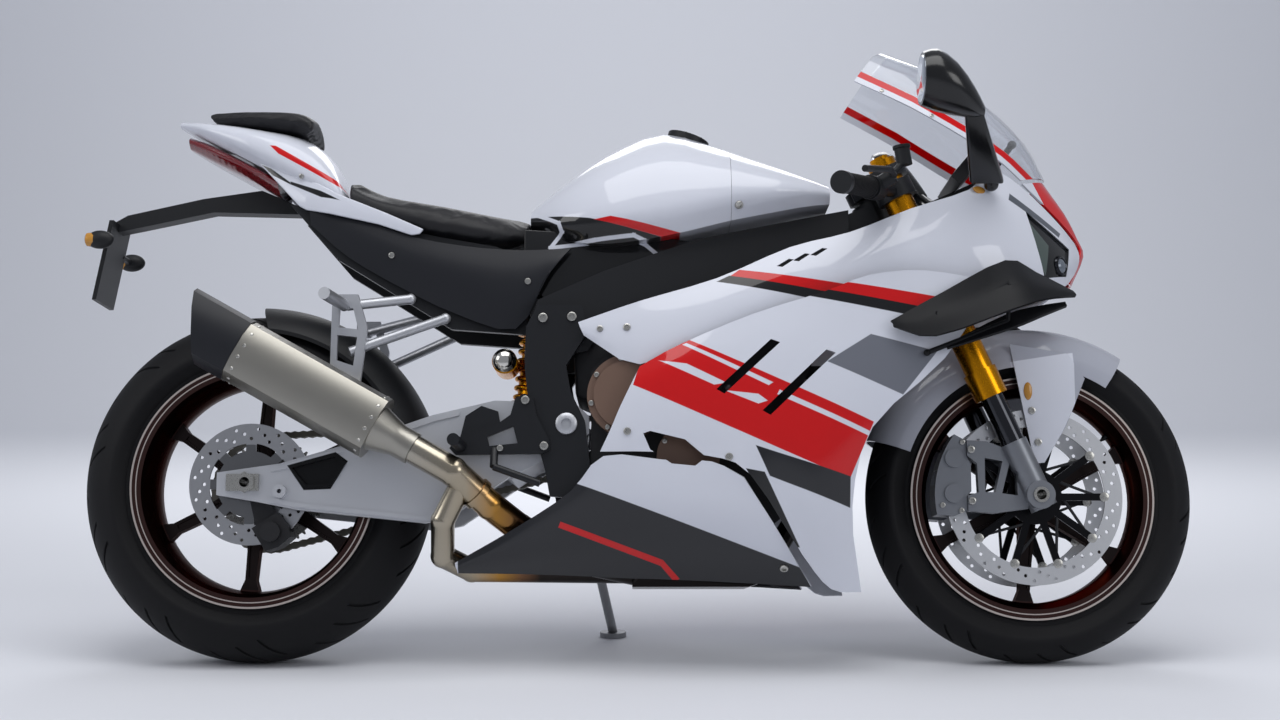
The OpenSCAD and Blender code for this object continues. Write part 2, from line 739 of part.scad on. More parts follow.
// Hollow end cut off upright, so that its top lip stands out furthest, round the outlet pipe
module muffler_cap() {
    foot = muffler_len - 62 + fit_gap;
    color(dark_c) difference() {
        muffler_frame() {
            difference() {
                translate([0, 0, foot]) linear_extrude(140) muffler_section(1.03);
                translate([0, 0, foot + 8]) linear_extrude(140) muffler_section(0.94);
            }
            difference() {
                translate([0, 0, foot + 4]) cylinder(h = 50, r = 36);
                translate([0, 0, foot + 12]) cylinder(h = 60, r = 32);
            }
        }
        side_plate(-400, 0) translate([-400, 300]) square([400 + cap_end_x, 600]);
    }
}

// Pipe from the collector under the engine up to the muffler, with a weld bead at each bend
pipe_r = 26;
pipe_path = [
    [700, -60, 166], [600, -90, 186], [488, -113, 242], [438, -164, 280], muffler_nose - muffler_dir * 126,
    muffler_nose - muffler_dir * (inlet_len + 0.6)
];
// Second pipe from the collector, joined to the first under the muffler
branch_r = 21;
branch_path = [[700, -40, 166], [400, -72, 168], [352, -122, 192], [356, -168, 252], [392, -188, 320]];
header_r = 17;

module bent_pipe(path, r) {
    for (i = [0:len(path) - 2]) {
        rod(path[i], path[i + 1], r);
        if (i > 0) translate(path[i]) sphere(r = r + 1);
    }
}

module exhaust_pipe() {
    color(titan_c) {
        bent_pipe(pipe_path, pipe_r);
        bent_pipe(branch_path, branch_r);
        // Flange below the muffler's link
        rod(pipe_path[3] * 0.72 + pipe_path[4] * 0.28, pipe_path[3] * 0.6 + pipe_path[4] * 0.4, pipe_r + 4);
        // Collector box with the header pipes that climb in front of the engine
        side_plate(-84, 84) polygon([[690, 138], [900, 138], [962, 160], [950, 196], [700, 196]]);
        difference() {
            for (y = [-66, -22, 22, 66]) {
                low = [header_x, y, 280];
                high = [header_x, y, 400];
                rod([header_x - 70, y, 166], low, header_r);
                translate(low) sphere(r = header_r + 1);
                rod(low, high, header_r);
                translate(high) sphere(r = header_r + 1);
                rod(high, [header_x - 40, y, 480], header_r);
            }
            engine_solid();
        }
    }
}

// Hangers with the pillion pegs; the right one also carries the muffler
module peg_hangers() {
    root = [[349, -106.6, 624], [285, -106.6, 660]];
    color(silver_c) both_sides() {
        for (p = root) translate(p) sphere(r = 10);
        rod(root[0], [182, -150, 556], 9);
        rod(root[1], [176, -150, 640], 9);
        difference() {
            side_plate(-158, -146) polygon([[200, 470], [214, 600], [196, 660], [150, 660], [148, 490]]);
            side_plate(-160, -140) polygon([[162, 600], [198, 596], [188, 634], [164, 640]]);
            side_plate(-160, -140) polygon([[160, 586], [196, 582], [190, 530], [160, 540]]);
            muffler_frame() linear_extrude(muffler_len) muffler_section(1.012);
        }
        rod([172, -156, 640], [150, -250, 646], 11);
    }
}

// Bodywork

// Rows of [x, base z, base half width, waist z, waist half width, shoulder z, shoulder half width, top z]
tank_rows = [
    [501, 802, 52, 812, 66, 832, 50, 846], [560, 772, 105, 802, 126, 862, 92, 894],
    [640, 758, 132, 808, 160, 902, 118, 950], [750, 770, 146, 826, 172, 930, 128, 995],
    [870, 800, 140, 850, 166, 920, 122, 960]
];
cover_rows = [
    [870 + 0.6, 800, 140, 850, 166, 920, 122, 960], [950, 818, 128, 858, 150, 905, 108, 930],
    [1010, 832, 112, 862, 127, 891, 90, 906], [1055, 841, 92, 861, 104, 878, 74, 889]
];
seat_rows = [
    [162, 838, 92, 852, 104, 886, 90, 902], [230, 804, 112, 824, 122, 852, 104, 866],
    [340, 778, 116, 800, 126, 830, 104, 847], [440, 766, 98, 788, 108, 814, 82, 829],
    [500.4, 770, 66, 784, 74, 806, 54, 824]
];
tail_rows = [
    [-170, 1008, 6, 1012, 12, 1017, 9, 1021], [-110, 976, 44, 990, 60, 1006, 48, 1014],
    [-20, 926, 70, 950, 92, 986, 76, 1000], [70, 876, 88, 904, 110, 955, 92, 984],
    [132, 842, 92, 862, 114, 905, 98, 932], [161, 826, 92, 836, 112, 850, 96, 858]
];
pad_rows = [
    [-118, 1016, 30, 1020, 40, 1028, 30, 1034], [-40, 1006, 62, 1012, 74, 1024, 60, 1034],
    [60, 990, 74, 1000, 86, 1018, 70, 1030], [96, 974, 74, 984, 84, 1002, 68, 1012]
];
lamp_rows = [
    [-150, 966, 10, 976, 24, 984, 20, 990], [-100, 938, 30, 952, 50, 964, 40, 969.5],
    [-10, 890, 44, 904, 72, 916, 60, 920], [30, 868, 46, 882, 74, 894, 64, 897.5]
];

module fuel_tank() {
    color(white_c) body_loft(tank_rows);
}

module tank_cover() {
    color(white_c) body_loft(cover_rows, 5, 4);
}

// Flush cap on the falling front of the tank's top
module fuel_cap() {
    color(dark_c) difference() {
        translate([796, 0, 987]) rotate([0, 18, 0]) translate([0, 0, -20]) cylinder(h = 24, r = 40);
        translate([0, 0, 0.3]) body_loft(tank_rows);
    }
}

module rider_seat() {
    color(black_c) body_loft(seat_rows);
}

module pillion_seat() {
    color(black_c) body_loft(pad_rows);
}

module tail_cowl() {
    color(white_c) body_loft(tail_rows);
}

module tail_lamp() {
    color(red_c) body_loft(lamp_rows);
}

cover_net = [
    [[98, -100, 800], [97, -104, 812], [96, -106, 824], [96, -104, 834]],
    [[170, -104, 738], [172, -110, 765], [175, -113, 790], [178, -110, 815]],
    [[270, -106, 680], [272, -114, 712], [274, -118, 745], [276, -114, 778]],
    [[370, -108, 632], [374, -118, 674], [378, -122, 716], [380, -114, 758]],
    [[478, -114, 604], [480, -122, 652], [482, -124, 702], [484, -114, 750]],
    [[532, -124, 694], [546, -126, 714], [562, -126, 734], [578, -122, 752]]
];

module side_covers() {
    color(dark_c) both_sides() panel(cover_net, cowl_wall);
}

// Arm out behind the tail with a board and two lamps
module plate_hanger() {
    color(black_c) {
        side_plate(-18, 18) polygon([[66, 850], [30, 867.4], [-10, 884], [-120, 868], [-262, 836],
            [-290, 820], [-280, 804], [-240, 812], [-100, 842], [66, 838]]);
        side_plate(-60, 60) polygon([[-285, 818], [-277, 818], [-304, 668], [-312, 668]]);
        both_sides() {
            rod([-290, -50, 770], [-290, -100, 770], 6);
            translate([-286, -112, 770]) scale([1.5, 0.8, 1]) sphere(r = 17, $fn = 24);
        }
    }
}

upper_net = [
    [[604, -184, 581], [601, -186, 587], [597, -186, 596], [594, -184, 605]],
    [[704, -198, 527], [704, -200, 561], [704, -196, 603], [704, -186, 643]],
    [[846, -208, 583], [844, -210, 615], [843, -204, 649], [842, -188, 684]],
    [[975, -214, 634], [974, -216, 666], [973, -208, 702], [973, -190, 740]],
    [[1076, -218, 655], [1077, -220, 693], [1079, -210, 729], [1082, -190, 768]],
    [[1189, -218, 684], [1190, -218, 726], [1191, -208, 768], [1190, -192, 810]],
    [[1282, -212, 669], [1285, -215, 726], [1290, -205, 783], [1296, -192, 845]],
    [[1355, -200, 656], [1356, -195, 725], [1354, -180, 801], [1344, -150, 892]],
    [[1426, -155, 661], [1432, -155, 714], [1426, -140, 779], [1407, -108, 870]],
    [[1475, -100, 680], [1488, -98, 716], [1492, -85, 752], [1481, -62, 814]],
    [[1503, -45, 700], [1520, -40, 727], [1528, -32, 755], [1522, -22, 781]]
];

// Three small slots under the frame's top edge, by their lower rear corners
upper_vents = [[948, 703], [977, 713], [1008, 723]];
lamp_outline = [[1408, 818], [1500, 760], [1488, 704], [1436, 690]];

module upper_cowls() {
    color(white_c) both_sides() {
        difference() {
            panel(upper_net, cowl_wall);
            side_plate(-400, -20) polygon(lamp_outline);
            side_plate(-400, -150) for (v = upper_vents) translate(v)
                polygon([[0, 0], [22, 14], [31, 12], [10, -2]]);
        }
    }
}

mid_net = [
    [[634, -205, 371], [652, -210, 409], [669, -213, 449], [690, -213, 493], [704, -208, 522]],
    [[722, -215, 370], [732, -222, 411], [746, -226, 463], [762, -226, 520], [775, -216, 560]],
    [[823, -222, 362], [837, -230, 415], [858, -236, 480], [880, -236, 547], [902, -228, 612]],
    [[896, -224, 330], [920, -236, 406], [952, -244, 484], [988, -246, 563], [1026, -238, 650]],
    [[990, -180, 191], [993, -225, 303], [1017, -246, 422], [1067, -252, 544], [1110, -242, 680]],
    [[1041, -165, 132], [1038, -215, 269], [1060, -244, 414], [1141, -252, 553], [1208, -240, 688]],
    [[1094, -160, 127], [1076, -205, 274], [1110, -238, 411], [1237, -246, 531], [1329, -232, 670]]
];

// Window across the seam of the mid and belly cowls
crescent = [[710, 402], [722, 406], [783, 391], [820, 360], [801, 345], [760, 349], [722, 374]];

// Two slots in side view
module mid_vents() {
    polygon([[838, 478], [852, 470], [950, 560], [934, 566]]);
    polygon([[918, 440], [932, 432], [1046, 540], [1030, 546]]);
}

module mid_cowls() {
    color(white_c) both_sides() difference() {
        panel(mid_net, cowl_wall);
        side_plate(-400, -150) {
            mid_vents();
            polygon(crescent);
        }
    }
}

belly_net = [
    [[379, -120, 161], [378, -128, 167], [376, -132, 172], [374, -130, 179]],
    [[490, -110, 160], [488, -140, 185], [487, -155, 211], [486, -160, 241]],
    [[588, -105, 157], [584, -150, 202], [581, -175, 254], [581, -185, 302]],
    [[669, -105, 153], [664, -160, 220], [655, -195, 287], [640, -206, 363]],
    [[770, -105, 150], [761, -165, 211], [753, -205, 278], [744, -216, 356]],
    [[892, -105, 144], [877, -165, 202], [858, -205, 269], [830, -221, 352]],
    [[1011, -105, 137], [983, -150, 176], [940, -190, 244], [886, -218, 324]]
];

module belly_cowls() {
    color(dark_c) difference() {
        union() {
            panel(belly_net, cowl_wall);
            mirror([0, 1, 0]) panel([for (i = [3:6]) belly_net[i]], cowl_wall);
        }
        both_sides() side_plate(-400, -150) polygon(crescent);
    }
}

nose_net = [
    [[1412, -98, 878], [1452, -50, 892], [1470, 0, 898], [1452, 50, 892], [1412, 98, 878]],
    [[1484, -54, 822], [1502, -28, 836], [1508, 0, 840], [1502, 28, 836], [1484, 54, 822]],
    [[1526, -17, 786], [1530, -8, 792], [1532, 0, 794], [1530, 8, 792], [1526, 17, 786]],
    [[1532, -25, 756], [1540, -10, 758], [1542, 0, 759], [1540, 10, 758], [1532, 25, 756]],
    [[1507, -38, 700], [1514, -16, 700], [1516, 0, 700], [1514, 16, 700], [1507, 38, 700]]
];

module nose_cowl() {
    color(red_c) panel(nose_net, cowl_wall);
}

screen_net = [
    [[1100, -128, 1066], [1140, -98, 1122], [1176, 0, 1150], [1140, 98, 1122], [1100, 128, 1066]],
    [[1200, -140, 1014], [1244, -98, 1080], [1282, 0, 1106], [1244, 98, 1080], [1200, 140, 1014]],
    [[1298, -146, 954], [1340, -96, 1020], [1372, 0, 1040], [1340, 96, 1020], [1298, 146, 954]],
    [[1360, -138, 914], [1404, -90, 960], [1436, 0, 972], [1404, 90, 960], [1360, 138, 914]],
    [[1408, -102, 884], [1452, -54, 898], [1472, 0, 904], [1452, 54, 898], [1408, 102, 884]]
];

module windscreen() {
    color("#cfd6dc") panel(screen_net, 3);
}

// Lens that lies fit_gap under the cowl's inner face, behind the lamp opening
module headlamps() {
    g = fine_grid(upper_net);
    depth = cowl_wall + fit_gap;
    front = [21:len(g) - 1];
    outer = inset_grid(g, depth);
    inner = inset_grid(g, depth + 3);
    color(black_c) both_sides() intersection() {
        grid_shell([for (i = front) outer[i]], [for (i = front) inner[i]]);
        side_plate(-400, -20) offset(delta = 7) polygon(lamp_outline);
    }
}

wing_net = [
    [[1145, -268, 583], [1144, -267, 589], [1141, -266, 594]],
    [[1215, -294, 564], [1222, -284, 604], [1234, -260, 646]],
    [[1347, -306, 609], [1348, -282, 656], [1350, -232, 708]],
    [[1410, -280, 631], [1408, -262, 656], [1408, -214, 690]],
    [[1473, -236, 645], [1472, -232, 649], [1470, -226, 654]]
];
fin_net = [
    [[1238, -264, 546], [1240, -262, 551], [1242, -260, 556]],
    [[1345, -286, 578], [1344, -274, 592], [1343, -262, 606]],
    [[1398, -280, 600], [1401, -268, 611], [1402, -258, 622]],
    [[1454, -244, 625], [1453, -240, 629], [1453, -236, 633]]
];

// Upper blade and the fin under it, on struts from the side panels
module winglets() {
    color(dark_c) both_sides() {
        panel(wing_net, 6);
        ball_rod(wing_net[1][1] + [0, 3, 0], seat_over(mid_net, 16, 10, 7), 7);
        ball_rod(wing_net[2][1] + [0, 3, 0], seat_over(mid_net, 18, 11, 7), 7);
        panel(fin_net, 5);
        ball_rod(fin_net[1][1] + [0, 2, 0], seat_over(mid_net, 17, 9, 6), 6);
        rod(fin_net[1][1] + [0, 2, 0], wing_net[2][1] + [0, 3, 0], 4);
    }
}

// Egg shaped shell through rows of [x, y, z, half width, half height]
function egg_ring(r) = [for (k = [0:15]) [r[0], r[1] - r[3] * cos(k * 22.5), r[2] + r[4] * sin(k * 22.5)]];
module egg_loft(rows, nx = 2) {
    ring_loft([for (r = spline(rows, nx)) egg_ring(r)]);
}

mirror_rows = [
    [1190, -356, 1002, 58, 45], [1215, -355, 1000, 63, 53], [1250, -352, 985, 55, 45],
    [1280, -346, 964, 34, 27], [1300, -338, 950, 12, 9]
];

module mirrors() {
    foot = seat_over(upper_net, 20, 8, 13.5);
    color(black_c) both_sides() {
        egg_loft(mirror_rows);
        rod(foot, [1282, -328, 954], 12, 9);
        translate(foot) sphere(r = 13.5);
    }
}

// Stays: a rod out to a ball that sits fit_gap under a panel's inner face
function seat_under(net, i, j, wall, r) = let (g = fine_grid(net)) g[i][j] - (wall + fit_gap + r)
    * grid_normal(g, i, j);
function seat_over(net, i, j, r) = let (g = fine_grid(net)) g[i][j] + (fit_gap + r) * grid_normal(g, i, j);

module ball_rod(a, c, r) {
    translate(c) sphere(r = r);
    rod(a, c, r * 0.75);
}

module stay(c, y0, r = 8) {
    ball_rod([c[0], y0, c[2]], c, r);
}

module dash_plate(grow) {
    translate([1322, 0, 925]) rotate([0, -50, 0]) cube([96 + 2 * grow, 170, 22 + 2 * grow], center = true);
}

module dash() {
    color(black_c) dash_plate(0);
}

// Front stay from the head tube, with the stays of the side panels
module fairing_stays() {
    hub = [1345, 0, 884];
    color(black_c) {
        difference() {
            union() {
                steering() translate([20, -18, -24]) cube([196, 36, 30]);
                ball_rod(hub, seat_under(nose_net, 3, 6, cowl_wall, 8), 8);
                both_sides() ball_rod(hub, seat_under(screen_net, 9, 3, 3, 8), 8);
            }
            steering() translate([0, 0, -100]) cylinder(h = 200, r = 36 + fit_gap);
            dash_plate(fit_gap);
        }
        both_sides() {
            stay(seat_under(upper_net, 21, 5, cowl_wall, 8), 0);
            stay(seat_under(upper_net, 8, 2, cowl_wall, 8), -130.6);
            stay(seat_under(mid_net, 6, 6, cowl_wall, 8), -148.6);
            stay(seat_under(mid_net, 9, 6, cowl_wall, 8), -130.6);
            stay(seat_under(belly_net, 12, 7, cowl_wall, 8), -148.6);
            stay(seat_under(cover_net, 5, 5, cowl_wall, 5), -96.6, 5);
            stay(seat_under(cover_net, 11, 6, cowl_wall, 5), -96.6, 5);
        }
    }
}

// Triangular bracket with a window, heel guard, peg and the foot lever
module rearsets() {
    face = -plate_out_y - 10;
    color(dark_c) both_sides() {
        side_plate(face, -plate_out_y - fit_gap) difference() {
            polygon([[482, 469], [498, 478], [514, 470], [520, 440], [543, 394], [544, 378], [529, 370],
                [377, 368], [366, 380], [379, 398], [456, 427], [474, 440]]);
            polygon([[433, 400], [479, 419], [487, 389], [437, 384]]);
        }
        side_plate(face + 3, face + 7) polygon([[384, 396], [456, 424], [452, 446], [422, 456],
            [394, 438]]);
        rod([386, face + 6, 384], [380, -252, 388], 11);
        rod([446, face + 4, 378], [446, face - 12, 346], 7);
        rod([446, face - 12, 346], [528, face - 18, 316], 6.5);
    }
}

// Steering, all in the steering frame

// Two clamps on the stem
module triple_clamps() {
    color(black_c) steering() difference() {
        union() {
            for (z = [[-94, 30], [60, 22]]) translate([0, 0, z[0]]) linear_extrude(z[1]) union() {
                for (s = [-1, 1]) translate([fork_offset, s * fork_y]) circle(r = 38);
                circle(r = 36);
                polygon([[-30, -30], [-24, 30], [fork_offset, fork_y], [fork_offset + 30, fork_y - 14],
                    [fork_offset + 14, 0], [fork_offset + 30, 14 - fork_y], [fork_offset, -fork_y]]);
            }
            translate([0, 0, -94]) cylinder(h = 182, r = stem_r);
        }
        translate([0, 0, -100]) cylinder(h = 200, r = 9);
        for (s = [-1, 1]) translate([fork_offset, s * fork_y, -100])
            cylinder(h = 200, r = fork_tube_r + shaft_clearance);
    }
}

module fork_tubes() {
    color(gold_c) steering() both_sides() translate([fork_offset, -fork_y, 0]) {
        translate([0, 0, -fork_split]) cylinder(h = fork_top + fork_split, r = fork_tube_r);
        translate([0, 0, -fork_split]) cylinder(h = 52, r = fork_tube_r + 4);
        translate([0, 0, fork_top]) cylinder(h = 8, r = 18);
    }
}

foot_top = 106;

module fork_sliders() {
    color(black_c) steering() both_sides() translate([fork_offset, -fork_y, -fork_drop + foot_top])
        cylinder(h = fork_drop - foot_top - fork_split, r = slider_r);
}

// Cast feet that hold the axle, each with a windowed bracket for its caliper
caliper_x = -128;

module fork_feet() {
    color(silver_c) at_front_axle() both_sides() difference() {
        union() {
            rotate([0, -rake, 0]) translate([0, -fork_y, -24]) cylinder(h = 24 + foot_top, r = 25);
            cross_shaft(-fork_y - 27, -fork_y + 25.4, 25.5);
            side_plate(-fork_y - 4, -fork_y + 20) polygon([[0, 60], [-40, 78], [-92, 98],
                [caliper_x + fit_gap, 100], [caliper_x + fit_gap, 72], [-110, 58], [-108, 6],
                [caliper_x + fit_gap, 0], [caliper_x + fit_gap, -28], [-80, -32], [-20, -24]]);
        }
        cross_shaft(-200, 200, axle_r + shaft_clearance);
        side_plate(-200, -50) polygon([[-96, 68], [-64, 62], [-78, 6], [-96, 6]]);
        side_plate(-200, -50) polygon([[-52, 56], [-38, 40], [-38, 0], [-66, 4]]);
    }
}

module front_axle() {
    color(silver_c) at_front_axle() difference() {
        union() {
            cross_shaft(-fork_y - 30, fork_y + 30, axle_r);
            both_sides() cross_shaft(-fork_y + 25.4 + fit_gap, -front_disc_y + disc_t / 2 - fit_gap,
                axle_r + 6);
        }
        cross_shaft(-200, 200, axle_bore_r);
    }
}

// Radial four piston calipers behind the legs, with two piston caps on the outside
piston_caps = [[-150, 68], [-152, 4]];

module front_calipers() {
    color(dark_c) at_front_axle() both_sides() difference() {
        union() {
            side_plate(-front_disc_y - 34, -front_disc_y + 30) intersection() {
                circle(r = rim_r - rim_depth - 11, $fn = 96);
                polygon([[caliper_x, 100], [-150, 112], [-172, 92], [-184, 40], [-190, -10], [-184, -34],
                    [-150, -36], [caliper_x, -26], [caliper_x, 0], [caliper_x + 8, 8], [caliper_x + 8, 58],
                    [caliper_x, 72]]);
            }
            for (p = piston_caps) translate([p[0], 0, p[1]])
                cross_shaft(-front_disc_y - 39, -front_disc_y - 33, 17);
        }
        side_plate(-front_disc_y - disc_t / 2 - pad_gap, -front_disc_y + disc_t / 2 + pad_gap)
            circle(r = front_disc_r + 6, $fn = 96);
        // Window over the pads
        side_plate(-front_disc_y - 20, -front_disc_y + 18) polygon([[-152, 44], [-200, 50], [-200, 20],
            [-152, 24]]);
    }
}
module front_fender() {
    gap = 14;
    color(white_c) at_front_axle() difference() {
        union() {
            rotate([90, 0, 0]) rotate([0, 0, 56]) rotate_extrude(angle = 104, $fn = 96) difference() {
                intersection() {
                    translate([front_tyre_r - front_crown_r, 0]) circle(r = front_crown_r + gap + 4);
                    translate([front_tyre_r - 60, -fork_y + fork_tube_r + 0.6])
                        square([100, 2 * (fork_y - fork_tube_r - 0.6)]);
                }
                translate([front_tyre_r - front_crown_r, 0]) circle(r = front_crown_r + gap);
            }
            both_sides() side_plate(-fork_y + fork_tube_r + 0.6 - 4, -fork_y + fork_tube_r + 0.6)
                polygon([[-40, 280], [66, 262], [96, 216], [60, 130], [18, 62], [0, 60]]);
        }
        rotate([0, -rake, 0]) both_sides() translate([0, -fork_y, 0]) {
            cylinder(h = 400, r = fork_tube_r + 0.5);
            cylinder(h = fork_drop - fork_split + 54, r = fork_tube_r + 4.6);
        }
    }
}

bar_dir = [-0.477, -0.877, 0.059];
bar_root = [fork_offset - 8, -fork_y - 26, 35];

module handlebars() {
    color(black_c) steering() both_sides() {
        difference() {
            union() {
                translate([fork_offset, -fork_y, 20]) cylinder(h = 32, r = 37);
                rod(bar_root, bar_root + bar_dir * 250, 11);
            }
            translate([fork_offset, -fork_y, 0]) cylinder(h = 100, r = fork_tube_r + shaft_clearance);
        }
        rod(bar_root + bar_dir * 126, bar_root + bar_dir * 244, 17);
        rod(bar_root + bar_dir * 244, bar_root + bar_dir * 258, 20);
    }
}

pot_low = [46, -206, 58];

// Switch, perch, lever and fluid pot
module controls() {
    color(dark_c) steering() both_sides() difference() {
        union() {
            rod(bar_root + bar_dir * 82, bar_root + bar_dir * 122, 22);
            rod(bar_root + bar_dir * 100, bar_root + bar_dir * 100 + [40, -16, 4], 14);
            rod(bar_root + bar_dir * 100 + [40, -16, 4], bar_root + bar_dir * 160 + [54, -20, 2], 6);
            rod(bar_root + bar_dir * 160 + [54, -20, 2], bar_root + bar_dir * 262 + [44, -22, 0], 6);
            // Fluid pot on a bracket
            rod(bar_root + bar_dir * 100 + [30, -8, 4], pot_low + [0, 0, 6], 6);
            rod(pot_low, pot_low + [8, 0, 30], 14);
            rod(pot_low + [8, 0, 30], pot_low + [9.4, 0, 35], 16);
        }
        rod(bar_root + bar_dir * 60, bar_root + bar_dir * 140, 11 + fit_gap);
    }
}

// Side stand

stand_pivot = [610, 130, 240];
stand_tilt = 58.65;
// Foot on the floor, in the leaned frame before the stance's shift
foot_place = [651, 284];

module stand_frame() {
    translate(stand_pivot) rotate([-stand_tilt, 0, 0]) children();
}

module side_stand() {
    foot_y = foot_place[1] * cos(lean) - 8 * sin(lean);
    foot_z = foot_place[1] * sin(lean) + 8 * cos(lean);
    color(dark_c) difference() {
        union() {
            stand_frame() translate([0, 0, -10]) cylinder(h = 20, r = 17);
            rod(stand_pivot, [foot_place[0], foot_y, foot_z], 9);
            rotate([lean, 0, 0]) translate([foot_place[0], foot_place[1], 0]) cylinder(h = 10, r = 26);
        }
        stand_frame() translate([0, 0, -40]) cylinder(h = 80, r = 7 + shaft_clearance);
    }
}

// Nodes

stance() main_frame();
stance() subframe();
stance() engine();
stance() engine_covers();
stance() radiator();
stance() exhaust_pipe();
stance() muffler();
stance() muffler_cap();
stance() peg_hangers();
stance() fuel_tank();
stance() tank_cover();
stance() fuel_cap();
stance() rider_seat();
stance() pillion_seat();
stance() tail_cowl();
stance() side_covers();
stance() tail_lamp();
stance() plate_hanger();
stance() nose_cowl();
stance() upper_cowls();
stance() mid_cowls();
stance() belly_cowls();
stance() fairing_stays();
stance() windscreen();
stance() headlamps();
stance() winglets();
stance() mirrors();
stance() dash();
stance() rearsets();
stance() swingarm();
stance() rear_axle();
stance() rear_caliper();
stance() shock();
stance() hugger();
stance() chain();
stance() triple_clamps();
stance() fork_tubes();
stance() fork_sliders();
stance() fork_feet();
stance() front_axle();
stance() front_calipers();
stance() front_fender();
stance() handlebars();
stance() controls();
stance() rear_rim();
stance() rear_tyre();
stance() rear_disc();
stance() rear_sprocket();
stance() front_rim();
stance() front_tyre();
stance() front_discs();
stance() side_stand();
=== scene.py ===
# %% [markdown]
# # A sport bike on its side stand
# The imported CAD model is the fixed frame: each of its nodes is already in place, in metres, leaning on the
# side stand. This lesson gives every node its finish, and adds the small pieces that a drawing office leaves
# to the trim shop: tread, padding, screws, lamp glass, grips and reflectors.

# %% Load the frame
import json
import math

import bmesh
import bpy
from mathutils import Matrix, Vector
from mathutils.bvhtree import BVHTree


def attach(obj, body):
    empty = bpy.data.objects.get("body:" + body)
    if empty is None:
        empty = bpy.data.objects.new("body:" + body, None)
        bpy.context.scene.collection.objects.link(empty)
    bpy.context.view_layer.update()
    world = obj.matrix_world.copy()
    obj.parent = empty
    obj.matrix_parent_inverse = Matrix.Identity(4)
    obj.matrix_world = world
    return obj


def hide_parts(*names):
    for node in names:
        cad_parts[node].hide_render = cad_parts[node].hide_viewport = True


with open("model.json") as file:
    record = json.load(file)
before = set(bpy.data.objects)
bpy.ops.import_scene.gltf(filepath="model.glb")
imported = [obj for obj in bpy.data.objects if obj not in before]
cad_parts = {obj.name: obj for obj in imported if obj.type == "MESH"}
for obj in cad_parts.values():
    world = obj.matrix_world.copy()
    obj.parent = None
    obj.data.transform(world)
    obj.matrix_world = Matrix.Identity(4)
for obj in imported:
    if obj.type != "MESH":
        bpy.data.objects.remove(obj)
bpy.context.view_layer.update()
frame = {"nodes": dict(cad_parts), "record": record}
nodes = frame["nodes"]

# %% [markdown]
# The bike leans 10 degrees, but its pieces are easier to place as if it stood upright: x ahead of the rear
# axle, y to the left of the middle plane, z above the floor, all in millimetres. One matrix takes such a
# place to the leaned frame. The axles come from the record's joints, and the steering has its own frame,
# with z up along the head tube.

# %% Upright places
LEAN = math.radians(10)
RAKE = math.radians(24)
# How far the frame's origin lies from the point on the floor under the rear axle, in metres
MIDDLE = Vector((0.701, 0.174, 0))
TO_FRAME = Matrix.Translation(-MIDDLE) @ Matrix.Rotation(-LEAN, 4, "X") @ Matrix.Scale(0.001, 4)
FROM_FRAME = TO_FRAME.inverted()
joints = {joint["name"]: joint for joint in frame["record"]["behaviour"]["joints"]}
FRONT_AXLE = FROM_FRAME @ Vector(joints["front_wheel_spin"]["pos_m"])
REAR_AXLE = FROM_FRAME @ Vector(joints["rear_wheel_spin"]["pos_m"])
HEAD = FROM_FRAME @ Vector(joints["steering"]["pos_m"])
STEERING = Matrix.Translation(HEAD) @ Matrix.Rotation(-RAKE, 4, "Y")
for label, spot in (("rear axle", REAR_AXLE), ("front axle", FRONT_AXLE), ("head", HEAD)):
    print(label, "at", [round(c) for c in spot])

# %% [markdown]
# The photograph is taken from the right with a moderate lens, about 3.5 m away and a little above half the
# bike's height, so the camera looks down by less than two degrees.

# %% Camera
SENSOR_MM = 36
FOCAL_PIXELS, PHOTO_WIDTH = 1918, 1280
CAMERA_PLACE = (0.0033, -3.674, 0.667)
CAMERA_DIP = math.radians(1.79)
camera = bpy.data.objects.new("camera", bpy.data.cameras.new("camera"))
bpy.context.scene.collection.objects.link(camera)
camera.data.sensor_width = SENSOR_MM
camera.data.lens = SENSOR_MM * FOCAL_PIXELS / PHOTO_WIDTH
camera.location = CAMERA_PLACE
camera.rotation_euler = (math.radians(90) - CAMERA_DIP, 0, 0)
bpy.context.scene.camera = camera
print("lens", round(camera.data.lens, 1), "mm")

# %% [markdown]
# ## Mesh helpers
# Every new piece is drawn upright in millimetres by a small maker function, then set in the leaned frame and
# tied to the body that carries it. Doubles are merged and the normals turned outwards, because a spin can
# leave a seam or turn a shape inside out.

# %% New pieces
SEAM_MM = 0.001


def new_piece(name, body, mesh_maker, material, smooth=35):
    """A piece drawn upright in millimetres by mesh_maker, set in the frame and riding on a body."""
    bm = bmesh.new()
    mesh_maker(bm)
    bmesh.ops.remove_doubles(bm, verts=bm.verts, dist=SEAM_MM)
    bmesh.ops.transform(bm, matrix=TO_FRAME, verts=bm.verts)
    bmesh.ops.recalc_face_normals(bm, faces=bm.faces)
    mesh = bpy.data.meshes.new(name)
    bm.to_mesh(mesh)
    bm.free()
    mesh.shade_smooth()
    mesh.set_sharp_from_angle(angle=math.radians(smooth))
    mesh.materials.append(material)
    piece = bpy.data.objects.new(name, mesh)
    bpy.context.scene.collection.objects.link(piece)
    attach(piece, body)
    return piece


def turned(bm, place, profile, steps):
    """A body of revolution: a profile of (radius, height) spun round the z axis of a place."""
    verts = [bm.verts.new(place @ Vector((r, 0, h))) for r, h in profile]
    edges = [bm.edges.new(pair) for pair in zip(verts, verts[1:])]
    axis = (place.to_3x3() @ Vector((0, 0, 1))).normalized()
    bmesh.ops.spin(
        bm, geom=verts + edges, cent=place.translation, axis=axis, angle=math.tau,
        steps=steps, use_merge=True)


print("pieces: one millimetre is", round(TO_FRAME.median_scale, 6), "m in the frame")

